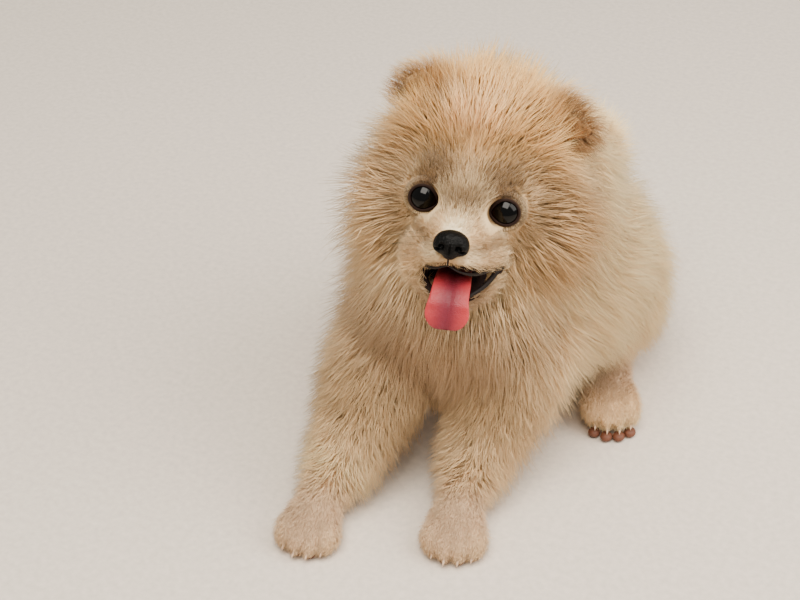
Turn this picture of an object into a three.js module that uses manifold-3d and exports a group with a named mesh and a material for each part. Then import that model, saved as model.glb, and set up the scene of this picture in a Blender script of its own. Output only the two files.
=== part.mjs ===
// A Pomeranian puppy, life-size, sitting with its front legs stretched forward, mouth open and tongue out.
// Millimetres, +Z up. The puppy's body points along -Y and its left side is +X.
// Each form has a skin size and a coat depth. Where the coat is long, the form's core reaches part of the
// way out through it, and flat tapered locks, rooted in the core, reach the rest of the way.
import * as THREE from "three";
import { mergeVertices } from "three/addons/utils/BufferGeometryUtils.js";
import Module from "manifold-3d";

const wasm = await Module();
wasm.setup();
const { Manifold, Mesh: SolidMesh } = wasm;

// Driving sizes
const GAP = 0.3; // between touching nodes
const FINEST = 0.01; // edges that would move the surface less than this are left out
const CORE_SHARE = 0.42; // of a long coat's depth that is core, under the locks
const FULL_SHARE = 1; // a form with a short coat reaches out to its hair tips
const UP = new THREE.Vector3(0, 0, 1);
const FORWARD = new THREE.Vector3(0, -1, 0);
const LEFTWARD = new THREE.Vector3(1, 0, 0);
const SIDES = { left: 1, right: -1 };

const HEAD = { at: [4.5, -21.5, 128.5], yaw: 16.5, pitch: 23, roll: 6 };
const EYE = { out: 16.1, front: 20, below: 4.8, radius: 7, splay: 14 };
const NOSE = { wide: 12.8, tall: 9.8, front: 46, below: 14.8 };
const MOUTH_CORNER = { out: 18.4, front: 25.5, below: 21.6 };
const JAW = { front: 40, below: 38.2 };
const TOE = { front: 5.2, hind: 5 };

// Locks: how far apart they grow across their lie, the pitch of their rows, and their length, width
// and thickness.
const LOCKS = {
  head: { across: 21, pitch: 20, long: 27, wide: 21, thick: 3 },
  ruff: { across: 30, pitch: 30, long: 42, wide: 30, thick: 3.6 },
  back: { across: 40, pitch: 42, long: 54, wide: 38, thick: 4 },
  tail: { across: 24, pitch: 25, long: 38, wide: 22, thick: 3.4 },
  leg: { across: 20, pitch: 24, long: 34, wide: 17, thick: 3.2 },
};

// Solids from three.js geometry
function solidFrom(geometry) {
  const bare = geometry.clone();
  bare.deleteAttribute("normal");
  bare.deleteAttribute("uv");
  const merged = mergeVertices(bare, 1e-4);
  const vertProperties = merged.attributes.position.array;
  const triVerts = new Uint32Array(merged.index.array);
  const solid = new Manifold(new SolidMesh({ numProp: 3, vertProperties, triVerts }));
  if (solid.volume() > 0) return solid;
  for (let i = 0; i < triVerts.length; i += 3) {
    [triVerts[i + 1], triVerts[i + 2]] = [triVerts[i + 2], triVerts[i + 1]];
  }
  return new Manifold(new SolidMesh({ numProp: 3, vertProperties, triVerts }));
}

function geometryFrom(solid) {
  const mesh = solid.getMesh();
  const positions = new Float32Array(mesh.numVert * 3);
  for (let i = 0; i < mesh.numVert; i++) {
    positions.set(mesh.vertProperties.subarray(i * mesh.numProp, i * mesh.numProp + 3), i * 3);
  }
  return geometryOf(positions, new Uint32Array(mesh.triVerts));
}

function geometryOf(positions, index) {
  const geometry = new THREE.BufferGeometry();
  geometry.setAttribute("position", new THREE.BufferAttribute(new Float32Array(positions), 3));
  geometry.setIndex(new THREE.BufferAttribute(new Uint32Array(index), 1));
  return geometry;
}

const joined = (solids) => Manifold.union(solids);

// The largest closed body of a solid, with any sealed hollow filled.
function largest(solid) {
  const bodies = solid.decompose().filter((body) => body.volume() > 0);
  return bodies.reduce((best, body) => (body.volume() > best.volume() ? body : best));
}

// A repeatable stream of numbers from 0 to 1.
function seededRandom(seed) {
  let state = seed;
  return () => {
    state = (Math.imul(state, 1664525) + 1013904223) >>> 0;
    return state / 4294967296;
  };
}

// A closed round form along a curve. sizes holds [half width, half height, coat depth] at each point.
function limb({ spine, sizes, sides = 12, rings = 10, blunt = 0.6, top = UP, shaggy = false }) {
  const curve = new THREE.CatmullRomCurve3(spine.map((p) => new THREE.Vector3(...p)));
  const girth = new THREE.CatmullRomCurve3(sizes.map((s) => new THREE.Vector3(...s)));
  const length = curve.getLength();

  const station = (along) => {
    const t = curve.getUtoTmapping(along);
    const tangent = curve.getTangent(t);
    const across = new THREE.Vector3().crossVectors(tangent, top).normalize();
    const lift = new THREE.Vector3().crossVectors(across, tangent);
    return { centre: curve.getPoint(t), size: girth.getPoint(t), tangent, across, lift };
  };
  // The point on the form, out to a share of the coat. way runs from -1 at the first end to 1 at the last.
  const surface = (way, angle, share, clearance = 0) => {
    const { centre, size, tangent, across, lift } = station((way + 1) / 2);
    const grown = size.z * share + clearance;
    const spread = (1 - way * way) ** (blunt / 2);
    return centre
      .addScaledVector(tangent, way * grown)
      .addScaledVector(across, Math.cos(angle) * (size.x + grown) * spread)
      .addScaledVector(lift, Math.sin(angle) * (size.y + grown) * spread);
  };

  return {
    shaggy,
    solid(share, clearance = 0) {
      const points = [surface(-1, 0, share, clearance)];
      for (let i = 1; i < rings; i++) {
        const way = -Math.cos((Math.PI * i) / rings);
        for (let k = 0; k < sides; k++) {
          points.push(surface(way, (2 * Math.PI * k) / sides, share, clearance));
        }
      }
      points.push(surface(1, 0, share, clearance));
      const last = points.length - 1;
      const at = (ring, k) => 1 + (ring - 1) * sides + (k % sides);
      const index = [];
      for (let k = 0; k < sides; k++) {
        index.push(0, at(1, k), at(1, k + 1), last, at(rings - 1, k + 1), at(rings - 1, k));
        for (let ring = 1; ring < rings - 1; ring++) {
          index.push(at(ring, k), at(ring + 1, k), at(ring + 1, k + 1));
          index.push(at(ring, k), at(ring + 1, k + 1), at(ring, k + 1));
        }
      }
      return solidFrom(geometryOf(points.flatMap((p) => p.toArray()), index));
    },
    // Places spread over the form, in staggered rows.
    roots({ across, pitch }, random) {
      const places = [];
      const rows = Math.max(2, Math.round(length / pitch));
      for (let row = 0; row < rows; row++) {
        const way = ((row + 0.5) / rows) * 1.84 - 0.92;
        const { size } = station((way + 1) / 2);
        const spread = (1 - way * way) ** (blunt / 2);
        const around = Math.PI * (size.x + size.y + 2 * size.z * CORE_SHARE) * spread;
        const count = Math.max(3, Math.round(around / across));
        for (let k = 0; k < count; k++) {
          const angle = (2 * Math.PI * (k + (row % 2) / 2 + (random() - 0.5) * 0.35)) / count;
          places.push({ place: [way, angle], coat: size.z });
        }
      }
      return places;
    },
    // The way over the form from a place, along it: steps run from 0 at the place to 1 at the far end.
    path([way, angle], long, turn) {
      const step = (2 * long) / length;
      return (s, share) => surface(Math.min(way + step * s, 0.97), angle + turn * s, share);
    },
    holds(point, share) {
      const stations = 24;
      for (let i = 0; i <= stations; i++) {
        const way = (2 * i) / stations - 1;
        const { centre, size, tangent, across, lift } = station((way + 1) / 2);
        const off = point.clone().sub(centre);
        const grown = size.z * share;
        if (Math.abs(off.dot(tangent)) > length / stations) continue;
        const spread = Math.max(0.05, (1 - way * way) ** (blunt / 2));
        const x = off.dot(across) / ((size.x + grown) * spread);
        const y = off.dot(lift) / ((size.y + grown) * spread);
        if (x * x + y * y < 1) return true;
      }
      return false;
    },
  };
}

// A ball with three half sizes, turned by Euler angles in degrees.
function ball({ at, radii, coat = 0, turn = [0, 0, 0], sides = 14, rings = 9, shaggy = false }) {
  const angles = new THREE.Euler(...turn.map(THREE.MathUtils.degToRad));
  const turned = new THREE.Matrix4().makeRotationFromEuler(angles);
  const unturned = turned.clone().invert();
  const centre = new THREE.Vector3(...at);
  const reaches = (share, clearance = 0) => new THREE.Vector3(...radii).addScalar(coat * share + clearance);

  return {
    shaggy,
    solid(share, clearance = 0) {
      const geometry = new THREE.SphereGeometry(1, sides, rings);
      geometry.rotateX(Math.PI / 2);
      geometry.scale(...reaches(share, clearance).toArray());
      geometry.applyMatrix4(turned);
      geometry.translate(...at);
      return solidFrom(geometry);
    },
    holds(point, share) {
      const inside = point.clone().sub(centre).applyMatrix4(unturned).divide(reaches(share));
      return inside.lengthSq() < 1;
    },
  };
}

const mirrored = (point, side) => [point[0] * side, point[1], point[2]];

// A form's core: a shaggy one keeps room for its locks, any other reaches out to its hair tips.
const coreOf = (form, clearance = 0) => form.solid(form.shaggy ? CORE_SHARE : FULL_SHARE, clearance);
const cores = (forms, clearance = 0) => joined(forms.map((form) => coreOf(form, clearance)));

// The room that forms take: their cores and the same grown by the gap, for other nodes to keep clear of.
const roomOf = (forms) => cores(forms).add(cores(forms, GAP));

// One lock: a flat blade of three-sided sections, ridged above, that lifts off the core and bends over
// along its lie.
const BLADE = [
  { step: -0.14, lift: -0.22, wide: 0.42, thick: 0.5 },
  { step: 0.26, lift: 0.5, wide: 0.5, thick: 0.5 },
  { step: 0.62, lift: 0.9, wide: 0.34, thick: 0.36 },
];
const CORNERS = [[1, -0.4], [0, 0.7], [-1, -0.4]];
function lockSolid({ path, shape: { wide, thick } }, clearance = 0) {
  const rise = (lift) => CORE_SHARE + (FULL_SHARE - CORE_SHARE) * lift;
  const centres = BLADE.map(({ step, lift }) => path(step, rise(lift)));
  const sunk = centres[1].clone().sub(centres[0]).normalize();
  centres[0].addScaledVector(sunk, -clearance * 2);
  const tip = path(1, rise(1));
  const positions = [];
  centres.forEach((centre, i) => {
    const ahead = (centres[i + 1] ?? tip).clone().sub(centres[i - 1] ?? centre).normalize();
    const out = path(BLADE[i].step, 1).sub(path(BLADE[i].step, 0)).normalize();
    const across = new THREE.Vector3().crossVectors(out, ahead).normalize();
    const above = new THREE.Vector3().crossVectors(ahead, across).normalize();
    const halfWide = wide * BLADE[i].wide + clearance * 2;
    const deep = thick * BLADE[i].thick * 2 + clearance * 4;
    for (const [x, y] of CORNERS) {
      const corner = centre.clone().addScaledVector(across, x * halfWide).addScaledVector(above, y * deep);
      positions.push(...corner);
    }
  });
  const onward = tip.clone().sub(centres[centres.length - 1]).normalize();
  positions.push(...tip.addScaledVector(onward, clearance * 2));
  const sides = CORNERS.length;
  const index = [0, 1, 2];
  for (let k = 0; k < sides; k++) {
    const next = (k + 1) % sides;
    for (let i = 0; i < centres.length - 1; i++) {
      const [a, b, c, d] = [i * sides + k, i * sides + next, (i + 1) * sides + next, (i + 1) * sides + k];
      index.push(a, c, b, a, d, c);
    }
    index.push((centres.length - 1) * sides + k, centres.length * sides, (centres.length - 1) * sides + next);
  }
  return solidFrom(geometryOf(positions, index));
}

const LEAST_LEFT = 0.35;
// What is left of a lock outside the neighbours' room, as one piece rooted in its core, or null if too
// little.
function clearOf(lock, rooms, core) {
  const pieces = lock.subtract(rooms).decompose().filter((piece) => !piece.intersect(core).isEmpty());
  if (!pieces.length) return null;
  const best = pieces.reduce((most, piece) => (piece.volume() > most.volume() ? piece : most));
  return best.volume() > LEAST_LEFT * lock.volume() ? best : null;
}

// Candidate locks along a limb, in staggered rows, all lying towards its far end.
function limbLocks(form, size, random) {
  return form.roots(size, random).map(({ place }) => {
    const vary = 0.88 + 0.24 * random();
    const path = form.path(place, size.long * vary, (random() - 0.5) * 0.5);
    return { path, shape: { wide: size.wide * vary, thick: size.thick } };
  });
}

// Candidate locks on a group of forms seen from one centre, in staggered rows round a pole. They lie away
// from the pole, as a coat does from the face. rows holds the first and last angle from the pole.
function pelt({ centre, pole, rows, forms, size, scale = () => 1 }, random) {
  const from = new THREE.Vector3(...centre);
  const axis = new THREE.Vector3(...pole).normalize();
  const side = new THREE.Vector3().crossVectors(axis, LEFTWARD).normalize();
  const other = new THREE.Vector3().crossVectors(axis, side);
  const farthest = 110;
  const pace = 2;
  const surface = (polar, angle, share) => {
    const outward = axis
      .clone()
      .multiplyScalar(Math.cos(polar))
      .addScaledVector(side, Math.sin(polar) * Math.cos(angle))
      .addScaledVector(other, Math.sin(polar) * Math.sin(angle));
    const held = (reach) => {
      const point = from.clone().addScaledVector(outward, reach);
      return forms.some((form) => form.holds(point, form.shaggy ? share : FULL_SHARE));
    };
    let reach = farthest;
    while (reach > pace && !held(reach)) reach -= pace;
    let beyond = reach + pace;
    for (let i = 0; i < 4; i++) {
      const half = (reach + beyond) / 2;
      if (held(half)) reach = half;
      else beyond = half;
    }
    return from.clone().addScaledVector(outward, reach);
  };
  const [first, last] = rows.map(THREE.MathUtils.degToRad);
  const mean = surface((first + last) / 2, Math.PI / 2, CORE_SHARE).distanceTo(from);
  const count = Math.max(2, Math.round(((last - first) * mean) / size.pitch));
  const locks = [];
  for (let row = 0; row <= count; row++) {
    const polar = first + ((last - first) * row) / count;
    const around = Math.max(4, Math.round((2 * Math.PI * mean * Math.sin(polar)) / size.across));
    for (let k = 0; k < around; k++) {
      const angle = (2 * Math.PI * (k + (row % 2) / 2 + (random() - 0.5) * 0.3)) / around;
      const vary = 0.88 + 0.24 * random();
      const lean = (random() - 0.5) * 0.16;
      const root = surface(polar, angle, CORE_SHARE);
      const fitted = scale(root);
      if (!fitted) continue;
      const onward = (size.long * vary * fitted) / root.distanceTo(from);
      const path = (s, share) => surface(polar + onward * s, angle + lean * s, share);
      locks.push({ path, shape: { wide: size.wide * vary * Math.sqrt(fitted), thick: size.thick } });
    }
  }
  return locks;
}

// A box that holds all that would reach below the floor.
const UNDERGROUND = solidFrom(new THREE.BoxGeometry(900, 900, 200).translate(0, 0, -100));

// The head's own frame: x to its left, -y to its nose, z up.
const headTurn = new THREE.Euler(
  -THREE.MathUtils.degToRad(HEAD.pitch),
  THREE.MathUtils.degToRad(HEAD.roll),
  THREE.MathUtils.degToRad(HEAD.yaw),
  "ZXY",
);
const headMatrix = new THREE.Matrix4().makeRotationFromEuler(headTurn).setPosition(...HEAD.at);
const intoHead = headMatrix.clone().invert();

const face = ball({ at: [0, -12, -4.5], radii: [23, 17, 16], coat: 2.5, sides: 14, rings: 9 });
const skull = ball({ at: [0, 7, 2], radii: [27, 24, 24], coat: 15, sides: 12, rings: 8, shaggy: true });
const crown = ball({ at: [0, 9, 15], radii: [21, 19, 17], coat: 16, sides: 12, rings: 8, shaggy: true });
const cheeks = Object.values(SIDES).map((side) =>
  ball({ at: [18 * side, 5, -12], radii: [14, 15, 13], coat: 19, sides: 9, rings: 6, shaggy: true }),
);
const muzzle = limb({
  spine: [[0, -14, -9], [0, -28, -11.5], [0, -39, -14], [0, -47, -16]],
  sizes: [[17, 14, 4], [13.5, 10.5, 2], [10.5, 8.5, 1.2], [8, 6.5, 0.8]],
  sides: 14,
  rings: 9,
});
const upperLips = Object.values(SIDES).map((side) =>
  limb({
    spine: [
      [1.2 * side, -47.2, -20.4],
      [8.5 * side, -42.5, -22.6],
      [14 * side, -34, -22.4],
      [MOUTH_CORNER.out * side, -MOUTH_CORNER.front, -MOUTH_CORNER.below + 1.6],
    ],
    sizes: [[2.4, 3, 0.6], [3, 3.4, 0.8], [3, 3.2, 1], [2.4, 2.2, 1]],
    sides: 8,
    rings: 6,
  }),
);
const headForms = [face, skull, crown, ...cheeks, muzzle, ...upperLips];

const eyeBalls = Object.fromEntries(
  Object.entries(SIDES).map(([name, side]) => [
    name,
    ball({
      at: [EYE.out * side, -EYE.front, -EYE.below],
      radii: [EYE.radius, EYE.radius, EYE.radius],
      sides: 11,
      rings: 7,
    }),
  ]),
);

// The eye's opening in the head, and the swollen lids round it, splayed a little outwards as the eye is.
const eyeOpening = (side) =>
  limb({
    spine: [
      mirrored([EYE.out, -EYE.front, -EYE.below], side),
      mirrored([EYE.out + 3, -EYE.front - 30, -EYE.below], side),
    ],
    sizes: [[5.2, 4.7, 0], [8, 7, 0]],
    sides: 12,
    rings: 6,
    blunt: 0.3,
  });
const LID = { thick: 1.9, inset: 1.1, ahead: 4.4 };
function lidsRound(side) {
  const rim = new THREE.TorusGeometry(EYE.radius - LID.inset, LID.thick, 6, 14);
  rim.rotateX(Math.PI / 2);
  rim.rotateZ(THREE.MathUtils.degToRad(EYE.splay * side));
  rim.translate((EYE.out + 1) * side, -EYE.front - LID.ahead, -EYE.below);
  return solidFrom(rim);
}

const noseForm = limb({
  spine: [
    [0, -NOSE.front + 5, -NOSE.below + 0.8],
    [0, -NOSE.front - 1, -NOSE.below + 0.2],
    [0, -NOSE.front - 4.5, -NOSE.below - 1],
  ],
  sizes: [[5.4, 3.6, 0], [NOSE.wide / 2, NOSE.tall / 2, 0], [4.8, 3.6, 0]],
  sides: 10,
  rings: 6,
  blunt: 0.5,
});
const nostrils = Object.values(SIDES).map((side) =>
  ball({
    at: [3.1 * side, -NOSE.front - 5, -NOSE.below - 0.6],
    radii: [1.5, 3, 1.3],
    turn: [0, 25 * side, 0],
    sides: 8,
    rings: 6,
  }),
);

const jaw = limb({
  spine: [[0, -8, -27], [0.4, -22, -33.5], [0.8, -33, -37.4], [1, -JAW.front, -JAW.below]],
  sizes: [[14, 7, 6], [12, 5.2, 5], [9.6, 3.8, 3], [6.6, 2.8, 1.6]],
  sides: 12,
  rings: 8,
});
const lowerLips = Object.values(SIDES).map((side) =>
  limb({
    spine: [
      [1 + 1.6 * side, -JAW.front - 1.5, -JAW.below + 2.4],
      [1 + 7.6 * side, -38.2, -34.6],
      [0.6 + 12.6 * side, -33, -30.6],
      [MOUTH_CORNER.out * side, -MOUTH_CORNER.front, -MOUTH_CORNER.below - 2],
    ],
    sizes: [[1.7, 1.8, 0.4], [1.9, 2, 0.5], [2, 2.2, 0.6], [2, 2, 0.8]],
    sides: 8,
    rings: 6,
  }),
);
const jawForms = [jaw, ...lowerLips];

const tongueForm = limb({
  spine: [
    [0.5, -18, -26.5],
    [1.2, -31, -28.4],
    [1.9, -41, -31],
    [2.2, -46, -35.5],
    [2.4, -47.6, -41],
    [2.7, -48, -46],
  ],
  sizes: [[6, 1.6, 0], [6.4, 1.7, 0], [6.8, 1.8, 0], [7.4, 1.8, 0], [9, 1.7, 0], [8.6, 1.5, 0]],
  sides: 10,
  rings: 12,
  blunt: 0.45,
});

// The open mouth between the jaws.
const mouth = limb({
  spine: [[0, -12, -23], [0.4, -24, -26], [0.8, -36, -29.4], [1, -54, -33]],
  sizes: [[12, 3.2, 0], [16.5, 4, 0], [16, 5.4, 0], [15, 8, 0]],
  sides: 12,
  rings: 8,
  blunt: 0.3,
});

// Each ear is a flattened rounded cone, flopped a little its own way, with a cup pressed into its front.
const EARS = {
  left: { base: [18, 6, 24], middle: [26, 5, 31.5], tip: [41, -1, 29], facing: [0.5, -1, 0.55] },
  right: { base: [-16, 6, 25], middle: [-23.5, 5, 34], tip: [-31.5, -1, 39], facing: [-0.25, -1, 0.35] },
};
const EAR_SIZE = { wide: 12, thick: 4.4, cupFront: 6.4 };
function earPieces({ base, middle, tip, facing }) {
  const outwards = new THREE.Vector3(...facing).normalize();
  const { wide, thick, cupFront } = EAR_SIZE;
  const lobe = limb({
    spine: [base, middle, tip],
    sizes: [[wide, thick, 2], [wide * 0.95, thick, 2], [wide * 0.35, thick * 0.5, 1.6]],
    sides: 11,
    rings: 7,
    top: outwards,
  });
  const inFront = (point, by) => new THREE.Vector3(...point).addScaledVector(outwards, by);
  const cup = limb({
    spine: [
      inFront(base, cupFront).lerp(inFront(middle, cupFront), 0.45).toArray(),
      inFront(middle, cupFront - 0.8).lerp(inFront(tip, cupFront - 0.8), 0.45).toArray(),
    ],
    sizes: [[6, 3.6, 0], [4.2, 2.6, 0]],
    sides: 10,
    rings: 6,
    top: outwards,
  });
  return { lobe, cup };
}

// Trunk, neck and tail
const torsoForms = [
  limb({
    spine: [[3, 83, 24], [2, 58, 51], [0, 22, 66], [-3, -14, 76], [-4, -32, 72]],
    sizes: [[25, 31, 22], [33, 29, 25], [33, 32, 27], [31, 32, 28], [24, 25, 25]],
    sides: 12,
    rings: 8,
    shaggy: true,
  }),
  ball({ at: [0, 20, 44], radii: [28, 46, 26], coat: 16, sides: 12, rings: 8, shaggy: true }),
];
const neckForms = [
  limb({
    spine: [[-3, -4, 80], [-2, 2, 96], [2, 6, 114], [3, 4, 132]],
    sizes: [[29, 27, 27], [27, 25, 29], [26, 24, 29], [20, 21, 25]],
    sides: 12,
    rings: 7,
    blunt: 0.5,
    top: FORWARD,
    shaggy: true,
  }),
  ball({ at: [-2, -28, 84], radii: [26, 14, 24], coat: 20, sides: 12, rings: 8, shaggy: true }),
];
const tailForm = limb({
  spine: [[3, 90, 56], [7, 96, 76], [12, 84, 91], [17, 64, 95], [19, 44, 94]],
  sizes: [[6, 6, 12], [5.5, 5.5, 14], [5, 5, 14], [4.5, 4.5, 13], [4, 4, 11]],
  sides: 10,
  rings: 10,
  top: LEFTWARD,
  shaggy: true,
});

// Legs: points run from the shoulder or hip down to the wrist or heel, and on to the toes.
const FRONT_LEGS = {
  left: {
    spine: [[17, -16, 64], [21, -34, 38], [19, -50, 22], [19.5, -66, 13]],
    paw: [[20, -66, 11.5], [23, -78, 8.4], [26, -88, 6.8]],
  },
  right: {
    spine: [[-21, -28, 64], [-27, -54, 38], [-29, -72, 22], [-31.5, -88, 13]],
    paw: [[-31, -88, 11.5], [-29.5, -100, 8.4], [-28, -109, 6.8]],
  },
};
const HIND_LEGS = {
  left: {
    thigh: [[22, 76, 37], [34, 56, 41], [41, 36, 31]],
    shank: [[42, 36, 24], [39, 48, 15], [36, 57, 10]],
    paw: [[36, 54, 8.5], [46, 31, 8.8], [56, 9, 9]],
  },
  right: {
    thigh: [[-16, 76, 37], [-29, 54, 41], [-36, 34, 30]],
    shank: [[-37, 36, 22], [-35, 48, 14], [-33, 58, 9.5]],
    paw: [[-32, 56, 8.5], [-36, 38, 8.4], [-39, 27, 7.4]],
  },
};
const SIZES = {
  frontLeg: [[15, 16, 19], [9.5, 10, 12], [7.4, 7.8, 9.6], [6.8, 7, 6]],
  frontPaw: [[7, 6.5, 3], [9.5, 7.2, 2.6], [9.6, 5.6, 2]],
  thigh: [[15, 22, 12], [15, 25, 14], [11, 14, 10]],
  shank: [[9, 9, 7], [7, 7, 5], [6, 6, 4]],
  hindPaw: [[6.4, 6, 3], [8.4, 6.6, 3], [9, 5.8, 2]],
};

// Four toes fan out from the end of a paw, each a small rounded form with a short claw.
function toeForms(paw, size) {
  const [, middle, tip] = paw.map((p) => new THREE.Vector3(...p));
  const ahead = tip.clone().sub(middle).setZ(0).normalize();
  const across = new THREE.Vector3(-ahead.y, ahead.x, 0);
  return [-1.5, -0.52, 0.52, 1.5].flatMap((step) => {
    const reach = Math.abs(step) < 1 ? 1 : 0.72;
    const root = middle.clone().addScaledVector(across, step * size * 0.78);
    const knuckle = tip.clone().addScaledVector(across, step * size);
    knuckle.addScaledVector(ahead, size * (reach - 1.4));
    const end = knuckle.clone().addScaledVector(ahead, size * (0.95 * reach + 0.3));
    end.z = Math.max(size * 0.62, knuckle.z - size * 0.42);
    const toe = limb({
      spine: [root.toArray(), knuckle.toArray(), end.toArray()],
      sizes: [
        [size * 0.7, size * 0.75, 0.6],
        [size * 0.8, size * 0.95, 0.8],
        [size * 0.62, size * 0.72, 0.8],
      ],
      sides: 7,
      rings: 4,
    });
    const clawTip = end.clone().addScaledVector(ahead, size * 1.05).addScaledVector(UP, -size * 0.28);
    const claw = limb({
      spine: [end.clone().addScaledVector(ahead, size * 0.3).toArray(), clawTip.toArray()],
      sizes: [[0.9, 1.1, 0], [0.35, 0.4, 0]],
      sides: 4,
      rings: 3,
    });
    return [toe, claw];
  });
}

const legNodes = {};
const thighs = [];
for (const name of Object.keys(SIDES)) {
  const front = FRONT_LEGS[name];
  const hind = HIND_LEGS[name];
  legNodes[`front_paw_${name}`] = [
    limb({ spine: front.paw, sizes: SIZES.frontPaw, rings: 7 }),
    ...toeForms(front.paw, TOE.front),
  ];
  legNodes[`front_leg_${name}`] = [
    limb({ spine: front.spine, sizes: SIZES.frontLeg, sides: 12, rings: 9, shaggy: true }),
  ];
  legNodes[`hind_paw_${name}`] = [
    limb({ spine: hind.paw, sizes: SIZES.hindPaw, rings: 7 }),
    ...toeForms(hind.paw, TOE.hind),
  ];
  const thigh = limb({ spine: hind.thigh, sizes: SIZES.thigh, sides: 12, rings: 8, shaggy: true });
  thighs.push(thigh);
  legNodes[`hind_leg_${name}`] = [
    thigh,
    limb({ spine: hind.shank, sizes: SIZES.shank, sides: 10, rings: 6 }),
  ];
}

// On the head the coat lies away from the nose. The face has short hair, and the first locks are shorter.
const headPelt = {
  centre: [0, 4, 0],
  pole: [0, -1, 0.08],
  rows: [62, 128],
  forms: headForms,
  size: LOCKS.head,
  scale: (root) => (root.z < -24 && root.y < 0 ? 0 : THREE.MathUtils.clamp(0.85 + root.y / 60, 0.7, 1.05)),
};
// On the body it lies away from the head: down the chest, over the shoulders and back to the rump.
const POLE = [0.1, -0.55, 0.84];
const LOWEST_ROOT = 12;
const ruffPelt = {
  centre: [-1, -2, 90],
  pole: POLE,
  rows: [38, 100],
  forms: [...neckForms, ...torsoForms],
  size: LOCKS.ruff,
};
const backPelt = {
  centre: [1, 40, 56],
  pole: POLE,
  rows: [58, 150],
  forms: [...torsoForms, ...neckForms, ...thighs],
  size: LOCKS.back,
  scale: (root) => (root.z < LOWEST_ROOT ? 0 : 1),
};

// Build the nodes
const model = new THREE.Group();
const headGroup = new THREE.Group();
headGroup.position.set(...HEAD.at);
headGroup.setRotationFromEuler(headTurn);
model.add(headGroup);

const FINISHES = {
  tan: { color: 0xd8b488, roughness: 0.95 },
  cream: { color: 0xe2cbac, roughness: 0.95 },
  pale: { color: 0xe9d8c2, roughness: 0.95 },
  brown: { color: 0xa0764c, roughness: 0.95 },
  nose: { color: 0x17110e, roughness: 0.4 },
  eye: { color: 0x0a0706, roughness: 0.08 },
  tongue: { color: 0xc5686c, roughness: 0.45 },
};
function add(group, name, solid, finish) {
  const material = new THREE.MeshStandardMaterial({ ...FINISHES[finish], metalness: 0 });
  const whole = largest(solid.simplify(FINEST));
  const mesh = new THREE.Mesh(geometryFrom(whole), material);
  mesh.name = name;
  group.add(mesh);
  return whole;
}

const ears = Object.fromEntries(Object.entries(EARS).map(([name, ear]) => [name, earPieces(ear)]));
const lobes = Object.values(ears).map(({ lobe }) => lobe);
const eyes = Object.values(eyeBalls);
const sideValues = Object.values(SIDES);
const bodyNodes = { neck: neckForms, torso: torsoForms, tail: [tailForm], ...legNodes };
const finishes = { tail: "cream", neck: "tan", torso: "cream" };

const toBody = (solid) => solid.transform(headMatrix.toArray());
const toHead = (solid) => solid.transform(intoHead.toArray());
const headRoom = roomOf(headForms);
const headTrim = joined([roomOf([...jawForms, ...lobes, tongueForm, noseForm]), roomOf(eyes)]);
const bodyCores = Object.fromEntries(Object.entries(bodyNodes).map(([name, forms]) => [name, cores(forms)]));
const coreRooms = Object.fromEntries(Object.entries(bodyNodes).map(([name, forms]) => [name, roomOf(forms)]));

// The head's locks lie clear of its ears, jaw and mouth and of every other core.
const random = seededRandom(11);
const headCore = cores(headForms);
const headBlocked = joined([headTrim, mouth.solid(0), ...Object.values(coreRooms).map(toHead)]);
const headLocks = [];
const headLockRooms = [];
for (const lock of pelt(headPelt, random)) {
  const kept = clearOf(lockSolid(lock), headBlocked, headCore);
  if (!kept) continue;
  headLocks.push(kept);
  headLockRooms.push(lockSolid(lock, GAP));
}

// A lock of the body belongs to the node that its root stands in. Each node's locks lie clear of the
// other cores and of the locks of the nodes before it.
const candidates = [
  ...pelt(ruffPelt, random),
  ...pelt(backPelt, random),
  ...limbLocks(tailForm, LOCKS.tail, random),
  ...Object.keys(SIDES).flatMap((side) => limbLocks(legNodes[`front_leg_${side}`][0], LOCKS.leg, random)),
];
const coreHolds = (forms, point) =>
  forms.some((form) => form.holds(point, form.shaggy ? CORE_SHARE : FULL_SHARE));
const ownerOf = ({ path }) => {
  const justUnder = path(0, CORE_SHARE - 0.05);
  return Object.keys(bodyNodes).find((name) => coreHolds(bodyNodes[name], justUnder));
};
let taken = joined([toBody(joined([headRoom, headTrim, ...headLockRooms])), UNDERGROUND]);
const bodyLocks = Object.fromEntries(Object.keys(bodyNodes).map((name) => [name, []]));
const owned = candidates.map((lock) => ({ lock, owner: ownerOf(lock) }));
for (const name of Object.keys(bodyNodes)) {
  const others = Object.keys(coreRooms).filter((other) => other !== name);
  const otherCores = others.map((other) => coreRooms[other]);
  const blocked = joined([taken, ...otherCores]);
  const rooms = [];
  for (const { lock } of owned.filter(({ owner }) => owner === name)) {
    const kept = clearOf(lockSolid(lock), blocked, bodyCores[name]);
    if (!kept) continue;
    bodyLocks[name].push(kept);
    rooms.push(lockSolid(lock, GAP));
  }
  taken = joined([taken, ...rooms]);
}

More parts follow.
